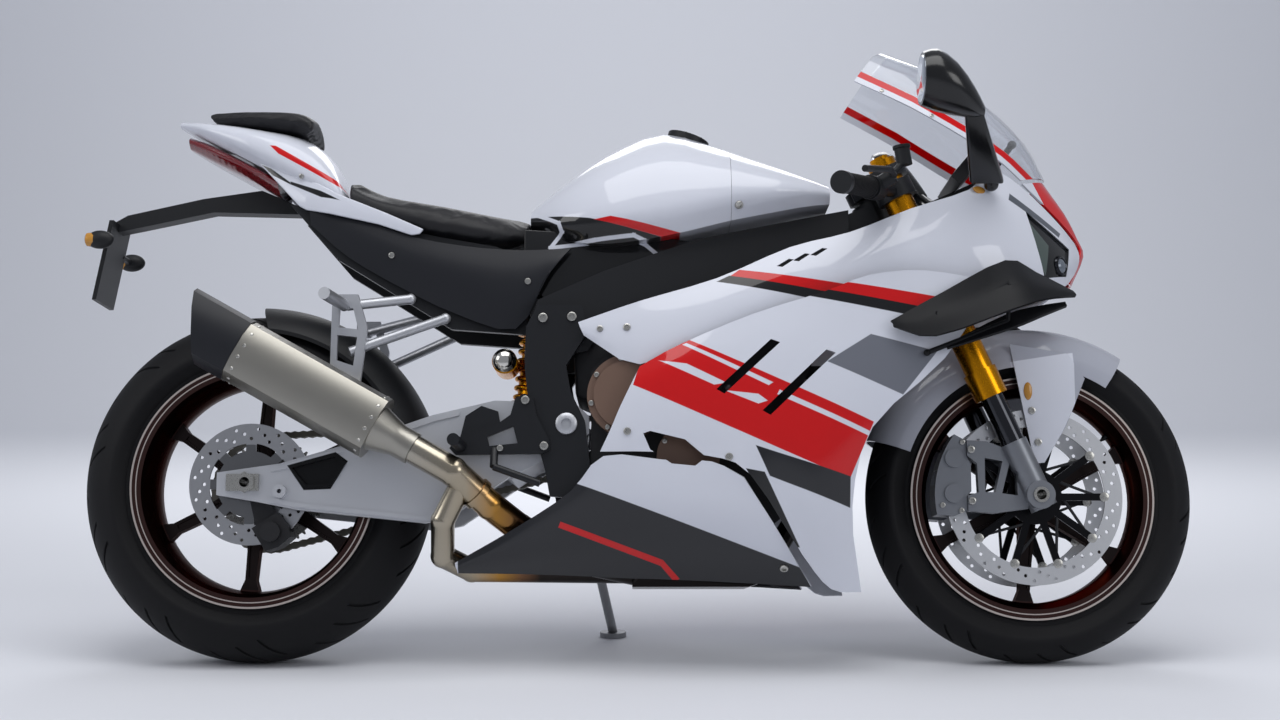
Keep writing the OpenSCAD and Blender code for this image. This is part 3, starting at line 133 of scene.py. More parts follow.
# %% [markdown]
# A screw or a lens must sit on what carries it. A line across the bike at a chosen x and z meets the node's
# mesh, and the point and normal there give the seat: a matrix whose z axis points out of the surface.

# %% Seats on the nodes
surfaces = {}
OUTSIDE = 700


def facing(point, way):
    """A place at a point, its z axis turned along a way."""
    return Matrix.Translation(point) @ way.to_track_quat("Z", "Y").to_matrix().to_4x4()


def meet(node, begin, goal):
    """The place where a line from begin to goal first meets a node, its z axis out of the surface there."""
    if node not in surfaces:
        mesh = nodes[node].data
        surfaces[node] = BVHTree.FromPolygons(
            [v.co for v in mesh.vertices], [list(p.vertices) for p in mesh.polygons])
    origin = TO_FRAME @ Vector(begin)
    inwards = (TO_FRAME @ Vector(goal) - origin).normalized()
    place, normal, _, _ = surfaces[node].ray_cast(origin, inwards)
    if place is None:
        raise ValueError(f"no {node} between {begin} and {goal}")
    return facing(FROM_FRAME @ place, FROM_FRAME.to_3x3() @ normal)


def seat(node, x, z, side=-1):
    """The place on a node's outer face, met by a line across the bike from the right (-1) or the left (1)."""
    return meet(node, (x, OUTSIDE * side, z), (x, 0, z))


def wheel_side(axle, y):
    """A place on a wheel's axis at a distance y from the middle plane, its z axis along the axle."""
    return Matrix.Translation((axle.x, y, axle.z)) @ Matrix.Rotation(math.radians(-90), 4, "X")


print("seat on the frame:", [round(c) for c in seat("main_frame", 578, 625).translation])

# %% [markdown]
# ## Materials
# Colours are written as they look on a screen, in sRGB, and the shader wants linear light. One small function
# adds a node with its settings and links.

# %% Helpers for materials


def linear(code):
    """An sRGB hex colour as linear red, green, blue and alpha."""
    parts = [int(code[i : i + 2], 16) / 255 for i in (1, 3, 5)]
    return [c / 12.92 if c < 0.04045 else ((c + 0.055) / 1.055) ** 2.4 for c in parts] + [1]


def add(tree, kind, inputs=None, **settings):
    """A node with its settings, its inputs set or linked."""
    node = tree.nodes.new(kind)
    for name, value in settings.items():
        setattr(node, name, value)
    for socket, value in (inputs or {}).items():
        if isinstance(value, bpy.types.NodeSocket):
            tree.links.new(value, node.inputs[socket])
        else:
            node.inputs[socket].default_value = value
    return node


def start(name, code, **sockets):
    """A material with one Principled shader, its colour and plain sockets set."""
    material = bpy.data.materials.new(name)
    material.use_nodes = True
    tree = material.node_tree
    shader = tree.nodes["Principled BSDF"]
    shader.inputs["Base Color"].default_value = linear(code)
    for socket, value in sockets.items():
        shader.inputs[socket.replace("_", " ")].default_value = value
    return material, tree, shader


def upright(tree):
    """Object coordinates turned back to the upright bike, in metres."""
    place = add(tree, "ShaderNodeTexCoord").outputs["Object"]
    back = Matrix.Rotation(LEAN, 3, "X") @ MIDDLE
    return add(tree, "ShaderNodeMapping", {
        "Vector": place, "Location": back, "Rotation": (LEAN, 0, 0)}).outputs[0]


def grit(tree, shader, size_mm, height_mm, detail=3):
    """Bump of a moulded, cast or sprayed surface, from the grain's size and height in millimetres."""
    place = add(tree, "ShaderNodeTexCoord").outputs["Object"]
    noise = add(tree, "ShaderNodeTexNoise", {"Vector": place, "Scale": 1000 / size_mm, "Detail": detail})
    bump = add(tree, "ShaderNodeBump", {
        "Height": noise.outputs[0], "Distance": height_mm / 1000, "Strength": 0.6})
    tree.links.new(bump.outputs[0], shader.inputs["Normal"])
    return noise.outputs[0]


print("half grey is", round(linear("#808080")[0], 3), "in linear light")

# %% [markdown]
# ## Studio
# A studio has a sweep: one sheet of pale paper that runs from the floor up the wall with a soft curve, so
# that no edge shows. It is a plane whose back edge is spun through a quarter turn and then drawn up.

# %% Sweep
# Metres: the floor's half width and half depth, its shift to the back, the curve's radius, the wall's rise
HALF_WIDTH, HALF_DEPTH, BACKWARD, CURVE_R, WALL_RISE = 9, 5.5, 0.5, 2.5, 5
back_y = HALF_DEPTH + BACKWARD
paper = start("matt studio paper", "#e2e4ea", Roughness=0.95)[0]
bm = bmesh.new()
bmesh.ops.create_grid(bm, x_segments=1, y_segments=1, size=1)
bmesh.ops.scale(bm, vec=(HALF_WIDTH, HALF_DEPTH, 1), verts=bm.verts)
bmesh.ops.translate(bm, vec=(0, BACKWARD, 0), verts=bm.verts)
back = [e for e in bm.edges if all(v.co.y > back_y - 0.1 for v in e.verts)]
bmesh.ops.spin(
    bm, geom=back, cent=(0, back_y, CURVE_R), axis=(1, 0, 0), angle=math.radians(90), steps=16)
top = [e for e in bm.edges if all(v.co.z > CURVE_R - 0.01 for v in e.verts)]
risen = bmesh.ops.extrude_edge_only(bm, edges=top)["geom"]
drawn_up = [v for v in risen if isinstance(v, bmesh.types.BMVert)]
bmesh.ops.translate(bm, vec=(0, 0, WALL_RISE), verts=drawn_up)
sweep_mesh = bpy.data.meshes.new("studio_sweep")
bm.to_mesh(sweep_mesh)
bm.free()
sweep_mesh.shade_smooth()
sweep_mesh.materials.append(paper)
sweep = bpy.data.objects.new("studio_sweep", sweep_mesh)
bpy.context.scene.collection.objects.link(sweep)
print("sweep:", len(sweep_mesh.polygons), "faces")

# %% [markdown]
# The light is soft and plain: a large box overhead, one at each end of the bike and one on its left side, so
# that this side is lit too, one that lights the wall, and a little light from all round.

# %% Light
world = bpy.data.worlds.new("studio air")
bpy.context.scene.world = world
world.use_nodes = True
air = world.node_tree.nodes["Background"].inputs
air["Color"].default_value = linear("#dfe3ee")
air["Strength"].default_value = 0.42

SOFTBOXES = [
    # name, place, aims at, width, height, watts
    ("top_box", (0.1, -1.1, 3.4), (0, 0, 0.5), 3.2, 2.2, 64),
    ("front_box", (3.2, -2.6, 1.9), (0.2, 0, 0.5), 1.6, 1.6, 26),
    ("rear_box", (-3.4, -1.6, 2.2), (-0.2, 0, 0.6), 1.6, 1.6, 26),
    ("left_box", (0.2, 3.2, 2.8), (0, 0, 0.5), 2.4, 1.6, 34),
    ("wall_box", (0, 2.6, 3.6), (0, 6.5, 1.6), 4.0, 1.2, 120),
]
for name, place, target, width, height, watts in SOFTBOXES:
    lamp = bpy.data.lights.new(name, "AREA")
    lamp.shape, lamp.size, lamp.size_y, lamp.energy = "RECTANGLE", width, height, watts
    box = bpy.data.objects.new(name, lamp)
    box.location = place
    box.rotation_euler = (Vector(target) - Vector(place)).to_track_quat("-Z", "Y").to_euler()
    bpy.context.scene.collection.objects.link(box)
bpy.context.scene.view_settings.view_transform = "Standard"
print("light:", len(SOFTBOXES), "soft boxes")

# %% [markdown]
# ## Painted bodywork
# The panels are injection-moulded ABS, sprayed white and lacquered. The coloured fields are part of the
# paint, except the dark fields in a vent and in a slot, which are painted shade. All are drawn in the
# material:
# each field is a convex outline in the bike's side view, and a point lies in it when it is on the inner side
# of every edge. A painter masks such a field with tape, and the edge is a little soft where the spray creeps
# under it.

# %% Masks of the fields
MASK_SOFT = 0.0006


def inside(tree, where, outline):
    """1 inside a convex outline of (x, z) corners in millimetres, 0 outside, soft as a mask's edge."""
    middle = Vector([sum(c) / len(outline) for c in zip(*outline)])
    nearest = None
    for a, b in zip(outline, outline[1:] + outline[:1]):
        a, b = Vector(a), Vector(b)
        n = Vector((a.y - b.y, b.x - a.x)).normalized()
        if n.dot(middle - a) < 0:
            n = -n
        along = add(tree, "ShaderNodeVectorMath", {0: where, 1: (n.x, 0, n.y)}, operation="DOT_PRODUCT")
        depth = add(tree, "ShaderNodeMath", {
            0: along.outputs["Value"], 1: n.dot(a) / 1000}, operation="SUBTRACT").outputs[0]
        nearest = depth if nearest is None else add(
            tree, "ShaderNodeMath", {0: nearest, 1: depth}, operation="MINIMUM").outputs[0]
    return add(tree, "ShaderNodeMapRange", {
        "Value": nearest, "From Min": -MASK_SOFT, "From Max": MASK_SOFT}).outputs[0]


def tape(colour, points, width):
    """Thin fields along a row of points, one for each stretch, as a painted line."""
    fields = []
    for a, b in zip(points, points[1:]):
        a, b = Vector(a), Vector(b)
        along = (b - a).normalized() * width / 2
        side = Vector((-along.y, along.x))
        fields.append((colour, [a - along + side, b + along + side, b + along - side, a - along - side]))
    return fields


print("a mask's edge is", round(MASK_SOFT * 2000, 2), "mm wide")

# %% [markdown]
# The paint itself is pigment in resin with a clear lacquer on top: colour from below, and sharp reflections
# from the coat. One function lays the fields over the base in turn, so every panel shares one recipe.

# %% Lacquered paint
WHITE, RED, BLACK, CHARCOAL, GREY = "#d2d5df", "#c40307", "#0e0f11", "#1c1d21", "#6a6d76"


def paint(name, fields, base=WHITE, centre=0):
    """Lacquered fields of (colour, outline) on a base; centre is a red stripe's half width in mm."""
    # The pigment is bound in the same resin as the lacquer, so the lacquer's face gives nearly all the gloss
    material, tree, shader = start(
        name, base, Roughness=0.32, Specular_IOR_Level=0.1, Coat_Weight=0.8, Coat_Roughness=0.04, IOR=1.5)
    where = upright(tree)
    # A sprayed coat is never quite even: clouds a third of a metre wide, 5 percent darker
    cloud = add(tree, "ShaderNodeTexNoise", {"Vector": where, "Scale": 3.0, "Detail": 2}).outputs[0]
    thin = [c * 0.95 for c in linear(base)[:3]] + [1]
    colour = add(tree, "ShaderNodeMix", {0: cloud, 6: linear(base), 7: thin}, data_type="RGBA").outputs[2]
    for code, outline in fields:
        mask = inside(tree, where, outline)
        colour = add(tree, "ShaderNodeMix", {
            0: mask, 6: colour, 7: linear(code)}, data_type="RGBA").outputs[2]
    if centre:
        across = add(tree, "ShaderNodeSeparateXYZ", {0: where}).outputs["Y"]
        mask = add(tree, "ShaderNodeMath", {
            0: across, 1: 0.0, 2: centre / 1000}, operation="COMPARE").outputs[0]
        colour = add(tree, "ShaderNodeMix", {
            0: mask, 6: colour, 7: linear(RED)}, data_type="RGBA").outputs[2]
    tree.links.new(colour, shader.inputs["Base Color"])
    # Orange peel of sprayed lacquer: waves of about 3 mm
    grit(tree, shader, 3, 0.02, 1)
    return material


print("paint colours:", WHITE, RED, BLACK, CHARCOAL, GREY)

# %% [markdown]
# The fields are lists of corners, x ahead and z up in millimetres, for each panel of the bodywork. A pattern
# that crosses two panels, such as the red and black stripes of the upper cowls, is one list used for both.

# %% Colour fields
TAIL = [
    (RED, [(18, 951), (29, 950), (149, 879), (159, 868), (146, 871), (35, 934)]),
    (BLACK, [(-22, 941), (19, 910), (57, 892), (58, 877), (22, 897)]),
    (BLACK, [(57, 892), (117, 861), (185, 836), (118, 849), (58, 877)]),
]
TANK = [
    (BLACK, [(480, 824), (613, 802), (800, 754), (880, 730), (880, 600), (480, 600)]),
    (RED, [(621, 799), (651, 804), (800, 771), (800, 757), (749, 767)]),
]
PIPING = tape(WHITE, [
    (506, 827), (555, 799), (561, 783), (540, 756), (620, 765), (693, 771), (715, 761), (733, 746)], width=7)
UPPER = [
    (RED, [(882, 699), (1250, 637), (1216, 617), (864, 686)]),
    (BLACK, [(864, 688), (1216, 619), (1186, 605), (841, 677)]),
]
SLIT_SHADE_GREY, FENDER_GREY = "#4d525b", "#a7aab5"
# The slot above the headlamps is a grey field on the upper cowl: painted shade in the slot
SLIT_SHADE = [(SLIT_SHADE_GREY, [(1378, 849), (1484, 789), (1478, 779), (1374, 835)])]
MID = UPPER + [
    (RED, [(692, 488), (704, 528), (788, 569), (1112, 420), (1070, 320)]),
    (WHITE, [(779, 559), (786, 562), (937, 489), (929, 484)]),
    (WHITE, [(738, 531), (786, 524), (856, 489), (834, 486)]),
    (WHITE, [(852, 476), (911, 469), (927, 457), (911, 452)]),
    (WHITE, [(948, 476), (1105, 404), (1103, 396), (944, 468)]),
    (GREY, [(1031, 525), (1108, 573), (1224, 543), (1163, 467)]),
    (CHARCOAL, [(906, 380), (1072, 326), (1072, 272), (931, 327)]),
]
# The vent in the mid cowl is a black field: painted shade where its opening would show dark
VENT_SHADE = [(BLACK, [(889, 340), (922, 334), (985, 204), (962, 208)])]
BELLY = [
    (CHARCOAL, [(380, 100), (380, 395), (613, 309), (914, 206), (983, 178), (1012, 135), (1012, 80)]),
    (RED, [(564, 250), (745, 184), (741, 174), (560, 240)]),
    (RED, [(745, 184), (775, 152), (766, 146), (741, 174)]),
]
FENDER = [(WHITE, [(1384, 548), (1500, 566), (1500, 470), (1436, 340), (1402, 420)])]
PAINTED = {
    "tail_cowl": paint("tail lacquer", TAIL),
    "fuel_tank": paint("tank lacquer", TANK + PIPING),
    "tank_cover": paint("tank cover lacquer", []),
    "upper_cowls": paint("upper cowl lacquer", UPPER + SLIT_SHADE),
    "mid_cowls": paint("mid cowl lacquer", MID + VENT_SHADE),
    "belly_cowls": paint("belly lacquer", BELLY),
    "nose_cowl": paint("nose lacquer", [], centre=72),
    "front_fender": paint("fender lacquer", FENDER, FENDER_GREY),
}
print("painted panels:", len(PAINTED))

# %% [markdown]
# ## Metals and plastics
# Each finish starts from what the real one is: die-cast and bead-blasted aluminium, anodised fork tubes,
# sprayed magnesium covers, moulded nylon. They share a recipe, one colour with a grain whose high spots are a
# little rougher, and differ in colour, metallic, roughness and the grain's size. Most real grains are a few
# tenths of a millimetre wide, so these are drawn coarser, to show.

# %% Grained finishes


def grained(name, code, roughness, size_mm, height_mm, metallic=1.0, spread=0.06, shine=0.5):
    """One colour with a grain of a given size and height, rougher on its high spots by a spread."""
    material, tree, shader = start(name, code, Metallic=metallic, Specular_IOR_Level=shine)
    noise = grit(tree, shader, size_mm, height_mm)
    uneven = add(tree, "ShaderNodeMapRange", {
        "Value": noise, "From Min": 0.3, "From Max": 0.7,
        "To Min": roughness - spread, "To Max": roughness + spread})
    tree.links.new(uneven.outputs[0], shader.inputs["Roughness"])
    return material


# Each has a name, colour, roughness, grain size and height in millimetres, then metallic and spread
# Blasted and painted castings: pale, with a soft, broad shine
cast_silver = grained("bead-blasted aluminium casting", "#b9bbc0", 0.42, 1.2, 0.04, 0.8)
fork_silver = grained("painted fork foot casting", "#7f8288", 0.4, 1.5, 0.05, 0.7)
# Plated and polished metal: nearly smooth, so that lamps show in it as clear lights
steel = grained("zinc-plated steel", "#b4b3ae", 0.3, 2, 0.006)
polished = grained("polished aluminium", "#d4d2cc", 0.14, 4, 0.004, 1.0, 0.03)
# Powder coat and moulded nylon: black, with a faint, broken shine
satin_black = grained("satin black powder coat", "#0d0f14", 0.42, 0.9, 0.03, 0.0, shine=0.4)
black_nylon = grained("moulded black nylon", "#0e1014", 0.5, 0.8, 0.04, 0.0, shine=0.35)
graphite = grained("graphite moulded side cover", "#11131a", 0.45, 0.8, 0.04, 0.0, shine=0.4)
charcoal_satin = grained("charcoal satin winglet", "#101114", 0.45, 0.8, 0.02, 0.0, shine=0.2)
# A lacquered shell: black, with the room reflected in it
gloss_black = grained("gloss black mirror shell", "#0c0d0f", 0.2, 3, 0.01, 0.0, 0.04)
# Cast and sprayed engine metal: dull, with a grain that shows close to
dark_cast = grained("dark engine casting", "#2c2c2e", 0.5, 1.8, 0.08, 0.6)
magnesium = grained("bronze sprayed engine cover", "#7c6457", 0.38, 1.5, 0.04, 0.5)
# Anodised and chromed tubes: a tint under the metal's own gloss
gold = grained("gold anodised tube", "#d08c14", 0.26, 2, 0.004, 1.0, 0.02)
chrome = grained("black chromed slider", "#3b3c40", 0.12, 4, 0.005, 1.0, 0.03)
# Rubber and vinyl: matt, because their grain breaks up the light
rubber = grained("tyre rubber", "#0b0b0e", 0.66, 1.0, 0.05, 0.0, shine=0.25)
vinyl = grained("grained seat vinyl", "#121216", 0.52, 1.4, 0.1, 0.0, shine=0.4)
# Oiled links, a painted stand and a blackened core: grey or black, with little shine
chain_steel = grained("oiled chain steel", "#77746c", 0.36, 1.5, 0.04)
stand_grey = grained("grey painted stand", "#8a8b8e", 0.4, 1.5, 0.03, 0.6)
radiator_black = grained("black radiator core", "#151618", 0.6, 1.2, 0.05, 0.3)
print("materials so far:", len(bpy.data.materials))

# %% [markdown]
# Some metals change with their place. A wheel is bronze, darker on its spokes, with two thin lines at its
# edge where the lathe cut through the paint. A floating brake disc has a stainless band on a black anodised
# carrier. Both are rings, so the distance from the axle picks the colour.

# %% Ringed finishes
MARK_MM = 1


def ringed(name, axle, bands, base, roughness):
    """A turned part: a base colour, with bands of (inner radius, outer radius, colour) in millimetres."""
    material, tree, shader = start(name, base, Metallic=1.0, Roughness=roughness)
    centre = (axle.x / 1000, 0, axle.z / 1000)
    off = add(tree, "ShaderNodeVectorMath", {0: upright(tree), 1: centre}, operation="SUBTRACT").outputs[0]
    flat = add(tree, "ShaderNodeVectorMath", {0: off, 1: (1, 0, 1)}, operation="MULTIPLY").outputs[0]
    radius = add(tree, "ShaderNodeVectorMath", {0: flat}, operation="LENGTH").outputs["Value"]
    # Turning marks are finer on a real disc: these are a millimetre apart, to show as a sheen
    ripple = add(tree, "ShaderNodeMath", {
        0: radius, 1: math.tau * 1000 / MARK_MM}, operation="MULTIPLY").outputs[0]
    ripple = add(tree, "ShaderNodeMath", {0: ripple}, operation="SINE").outputs[0]
    bump = add(tree, "ShaderNodeBump", {"Height": ripple, "Distance": 0.00002, "Strength": 0.4})
    tree.links.new(bump.outputs[0], shader.inputs["Normal"])
    colour = linear(base)
    for inner, outer, code in bands:
        middle, half = (inner + outer) / 2000, (outer - inner) / 2000
        mask = add(tree, "ShaderNodeMath", {0: radius, 1: middle, 2: half}, operation="COMPARE").outputs[0]
        colour = add(tree, "ShaderNodeMix", {
            0: mask, 6: colour, 7: linear(code)}, data_type="RGBA").outputs[2]
    tree.links.new(colour, shader.inputs["Base Color"])
    return material


POLISHED, BRONZE, SPOKE, EDGE_TINT = "#dcd0c8", "#45322f", "#2d2726", "#8f8481"
CARRIER_BLACK, STAINLESS = "#222224", "#dfe0e2"
REAR_CARRIER, REAR_STAINLESS = "#77787a", "#b4b5b8"
lip = [(0, 188, SPOKE), (219.5, 224, POLISHED), (211, 213, POLISHED)]
front_wheel_bronze = ringed("bronze sprayed front wheel", FRONT_AXLE, lip, BRONZE, roughness=0.3)
rear_wheel_bronze = ringed("bronze sprayed rear wheel", REAR_AXLE, lip, BRONZE, roughness=0.3)
for bronze in (front_wheel_bronze, rear_wheel_bronze):
    # The paint stays brown where the barrel is seen edge on
    bronze.node_tree.nodes["Principled BSDF"].inputs["Specular Tint"].default_value = linear(EDGE_TINT)
front_disc_steel = ringed(
    "stainless disc on a black carrier", FRONT_AXLE, [(0, 128, CARRIER_BLACK)], STAINLESS, roughness=0.32)
rear_disc_steel = ringed(
    "stainless rear disc", REAR_AXLE, [(0, 72, REAR_CARRIER)], REAR_STAINLESS, roughness=0.3)
print("wheel bands:", [band[:2] for band in lip])

# %% [markdown]
# The muffler is titanium sheet, brushed along its length. Fine strokes spread the light across them, so the
# noise is stretched: 60 mm along the axis and 0.6 mm across it, wider than real strokes, to show.

# %% Brushed titanium
MUFFLER_TAIL, MUFFLER_NOSE = Vector((-58, -198, 580)), Vector((266, -198, 398))
STROKE_LONG, STROKE_WIDE = 0.06, 0.0006
muffler_slope = math.atan2(MUFFLER_TAIL.z - MUFFLER_NOSE.z, MUFFLER_NOSE.x - MUFFLER_TAIL.x)
titanium, tree, shader = start("brushed titanium sheet", "#a09d95", Metallic=1.0)
brushed = add(tree, "ShaderNodeMapping", {
    "Vector": upright(tree), "Rotation": (0, -muffler_slope, 0),
    "Scale": (1 / STROKE_LONG, 1 / STROKE_WIDE, 1 / STROKE_WIDE)})
strokes = add(tree, "ShaderNodeTexNoise", {
    "Vector": brushed.outputs[0], "Scale": 1.0, "Detail": 4}).outputs[0]
spread = add(tree, "ShaderNodeMapRange", {"Value": strokes, "To Min": 0.26, "To Max": 0.46})
tree.links.new(spread.outputs[0], shader.inputs["Roughness"])
bump = add(tree, "ShaderNodeBump", {"Height": strokes, "Distance": 0.00003, "Strength": 0.5})
tree.links.new(bump.outputs[0], shader.inputs["Normal"])
print("muffler slopes", round(math.degrees(muffler_slope)), "degrees")

# %% [markdown]
# The pipe in front of the muffler is stainless steel that heat has tinted: pale at the muffler, then straw
# and bronze. Towards the engine, under the belly cowl, it is nearly black: painted shade. A colour ramp that
# follows x gives all of them in one material.

# %% Heat-tinted pipe with painted shade
RAMP_FROM, RAMP_TO = 0.28, 0.62
# The last stops, nearly black, are painted shade where the belly cowl hangs over the pipe
TINTS_AND_SHADE = [
    (0.0, "#aaa69c"), (0.35, "#a59a86"), (0.5, "#a87c3c"),
    (0.62, "#6d4f3a"), (0.72, "#2c2826"), (1.0, "#2a2726"),
]
pipe_steel, tree, shader = start("heat-tinted pipe with painted shade", "#a39a8c", Metallic=1.0, Roughness=0.24)
ahead = add(tree, "ShaderNodeSeparateXYZ", {0: upright(tree)}).outputs["X"]
tint_and_shade = add(tree, "ShaderNodeMapRange", {
    "Value": ahead, "From Min": RAMP_FROM, "From Max": RAMP_TO}).outputs[0]
ramp = add(tree, "ShaderNodeValToRGB", {"Fac": tint_and_shade})
ramp.color_ramp.elements[0].color = linear(TINTS_AND_SHADE[0][1])
ramp.color_ramp.elements[1].color = linear(TINTS_AND_SHADE[-1][1])
for spot, code in TINTS_AND_SHADE[1:-1]:
    ramp.color_ramp.elements.new(spot).color = linear(code)
tree.links.new(ramp.outputs[0], shader.inputs["Base Color"])
grit(tree, shader, 3, 0.02)
print("pipe tints:", len(TINTS_AND_SHADE))

# %% [markdown]
# The screen is clear polycarbonate, which shows a pale sheen and little else, with its lower edge painted: a
# red line over a white band. Paint lets no light through, so the mask that colours it also ends the
# transmission.

# %% Painted screen
CLEAR, CLEAR_SHARE = "#f4f6fa", 0.93
SCREEN_EDGE = [(1045, 1107), (1105, 1076), (1205, 1024), (1303, 964), (1365, 924), (1413, 894)]
LINE_SHIFT_X, LINE_SHIFT_Z = 7, 11
BELOW = [(1520, 700), (1040, 700)]
screen_glass, tree, shader = start("clear polycarbonate", CLEAR, Roughness=0.02, IOR=1.45)
where = upright(tree)
raised = [(x + LINE_SHIFT_X, z + LINE_SHIFT_Z) for x, z in SCREEN_EDGE]
band = inside(tree, where, SCREEN_EDGE + [(1520, 827)] + BELOW)
stripe = inside(tree, where, raised + [(1520, 842)] + BELOW)
clear = add(tree, "ShaderNodeMath", {
    0: CLEAR_SHARE, 1: stripe}, operation="SUBTRACT", use_clamp=True).outputs[0]
colour = add(tree, "ShaderNodeMix", {
    0: stripe, 6: linear(CLEAR), 7: linear(RED)}, data_type="RGBA").outputs[2]
colour = add(tree, "ShaderNodeMix", {0: band, 6: colour, 7: linear(WHITE)}, data_type="RGBA").outputs[2]
tree.links.new(colour, shader.inputs["Base Color"])
tree.links.new(clear, shader.inputs["Transmission Weight"])
print("screen edge:", len(SCREEN_EDGE), "corners")

# %% [markdown]
# The swingarm is an aluminium casting, blasted to a soft grey, with one pocket painted black. The pocket is a
# field like those of the panels.

# %% Swingarm casting
ARM_SILVER = "#c3c5ca"
POCKET = [(74, 352), (160, 376), (182, 360), (152, 310), (104, 308)]
arm_alloy, tree, shader = start(
    "swingarm casting with a black pocket", ARM_SILVER, Metallic=0.6, Roughness=0.4)
pocket = inside(tree, upright(tree), POCKET)
colour = add(tree, "ShaderNodeMix", {
    0: pocket, 6: linear(ARM_SILVER), 7: linear(BLACK)}, data_type="RGBA").outputs[2]
tree.links.new(colour, shader.inputs["Base Color"])
grit(tree, shader, 1.2, 0.05)
print("swingarm pocket:", len(POCKET), "corners")

# %% [markdown]
# The lamp lenses are moulded polycarbonate, clear, amber or red. The tail lamp's flutes break its light into
# bands, so a wave bends its normals. The headlamps look nearly black from outside, with a grey corner where
# light gets in behind the lens.

# %% Lamp lenses and mirror glass
FLUTE_MM = 11.843
# Blender's wave texture turns 20 radians in a unit at a scale of 1
WAVE_RADIANS = 20
SMOKE, SMOKE_CORNER = "#0b0d0f", "#47524f"
red_lens, tree, shader = start("red lamp lens", "#6f0a14", Roughness=0.1, IOR=1.55, Coat_Weight=0.8)
flutes = add(tree, "ShaderNodeTexWave", {
    "Vector": upright(tree), "Scale": math.tau * 1000 / FLUTE_MM / WAVE_RADIANS}, bands_direction="X")
bump = add(tree, "ShaderNodeBump", {"Height": flutes.outputs[1], "Distance": 0.0004, "Strength": 0.5})
tree.links.new(bump.outputs[0], shader.inputs["Normal"])
amber_lens = grained("amber lamp lens", "#b98436", 0.14, 4, 0.02, 0.0)
clear_lens = grained("clear lamp lens", "#6f7680", 0.08, 5, 0.01, 0.3)
lamp_glass, tree, shader = start("smoked lamp lens", SMOKE, Roughness=0.08, IOR=1.5)
corner = inside(tree, upright(tree), [(1412, 800), (1452, 757), (1440, 697), (1418, 734)])
colour = add(tree, "ShaderNodeMix", {
    0: corner, 6: linear(SMOKE), 7: linear(SMOKE_CORNER)}, data_type="RGBA").outputs[2]
tree.links.new(colour, shader.inputs["Base Color"])
mirror_glass = grained("silvered mirror glass", "#c4c9d0", 0.08, 8, 0.002, 1.0)
print("flutes every", round(FLUTE_MM), "mm")

# %% [markdown]
# Now every node gets its finish. The list is the bike's colour card.

# %% Finishes on the nodes
FINISHES = {
    **PAINTED,
    "main_frame": satin_black, "subframe": satin_black, "engine": dark_cast, "engine_covers": magnesium,
    "radiator": radiator_black, "exhaust_pipe": pipe_steel, "muffler": titanium, "muffler_cap": graphite,
    "peg_hangers": cast_silver, "fuel_cap": satin_black, "rider_seat": vinyl, "pillion_seat": vinyl,
    "side_covers": graphite, "tail_lamp": red_lens, "plate_hanger": black_nylon, "fairing_stays": black_nylon,
    "windscreen": screen_glass, "headlamps": lamp_glass, "winglets": charcoal_satin, "mirrors": gloss_black,
    "dash": black_nylon, "rearsets": satin_black, "swingarm": arm_alloy, "rear_axle": steel,
    "rear_caliper": dark_cast, "shock": gold, "hugger": black_nylon, "chain": chain_steel,
    "triple_clamps": satin_black, "fork_tubes": gold, "fork_sliders": chrome, "fork_feet": fork_silver,
    "front_axle": steel, "front_calipers": fork_silver, "handlebars": satin_black, "controls": black_nylon,
    "rear_rim": rear_wheel_bronze, "front_rim": front_wheel_bronze, "rear_tyre": rubber, "front_tyre": rubber,
    "rear_disc": rear_disc_steel, "front_discs": front_disc_steel, "rear_sprocket": steel,
    "side_stand": stand_grey,
}
for name, node in nodes.items():
    node.data.materials.clear()
    node.data.materials.append(FINISHES[name])
print("finishes on", len(nodes), "nodes")

# %% [markdown]
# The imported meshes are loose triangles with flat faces. A few geometry nodes on each merge them and shade
# gentle bends smooth, so that light runs over a panel as it does over the moulded one, while real edges stay
# sharp.

# %% Smooth panels
MERGE_DIST = 0.00001
SOFT_BEND = 34


def softener(degrees):
    """A node group that merges loose triangles and shades all edges smooth that bend less than an angle."""
    group = bpy.data.node_groups.new(f"soften to {degrees} degrees", "GeometryNodeTree")
    for way in ("INPUT", "OUTPUT"):
        group.interface.new_socket("Geometry", in_out=way, socket_type="NodeSocketGeometry")
    source = add(group, "NodeGroupInput").outputs[0]
    plain = add(group, "GeometryNodeRemoveAttribute", {
        "Geometry": source, "Name": "custom_normal"}).outputs[0]
    merged = add(group, "GeometryNodeMergeByDistance", {
        "Geometry": plain, "Distance": MERGE_DIST}).outputs[0]
    faces = add(group, "GeometryNodeSetShadeSmooth", {"Geometry": merged}, domain="FACE").outputs[0]
    bend = add(group, "GeometryNodeInputMeshEdgeAngle").outputs["Unsigned Angle"]
    gentle = add(group, "FunctionNodeCompare", {
        0: bend, 1: math.radians(degrees)}, operation="LESS_THAN").outputs[0]
    edges = add(group, "GeometryNodeSetShadeSmooth", {
        "Geometry": faces, "Shade Smooth": gentle}, domain="EDGE")
    add(group, "NodeGroupOutput", {0: edges.outputs[0]})
    return group


soft_edges = softener(SOFT_BEND)
for node in nodes.values():
    node.modifiers.new("soften", "NODES").node_group = soft_edges
print("softened", len(nodes), "nodes")

# %% [markdown]
# ## Tyres
# The CAD tyre is a smooth ring. A sport tyre's crown has few, long, slanting grooves. The section is spun in
# 240 steps, then each step's line of faces is turned a little round the axle the further it lies from the
# middle, so the lines slant. Some stretches of them are inset and pushed in: those are the grooves.

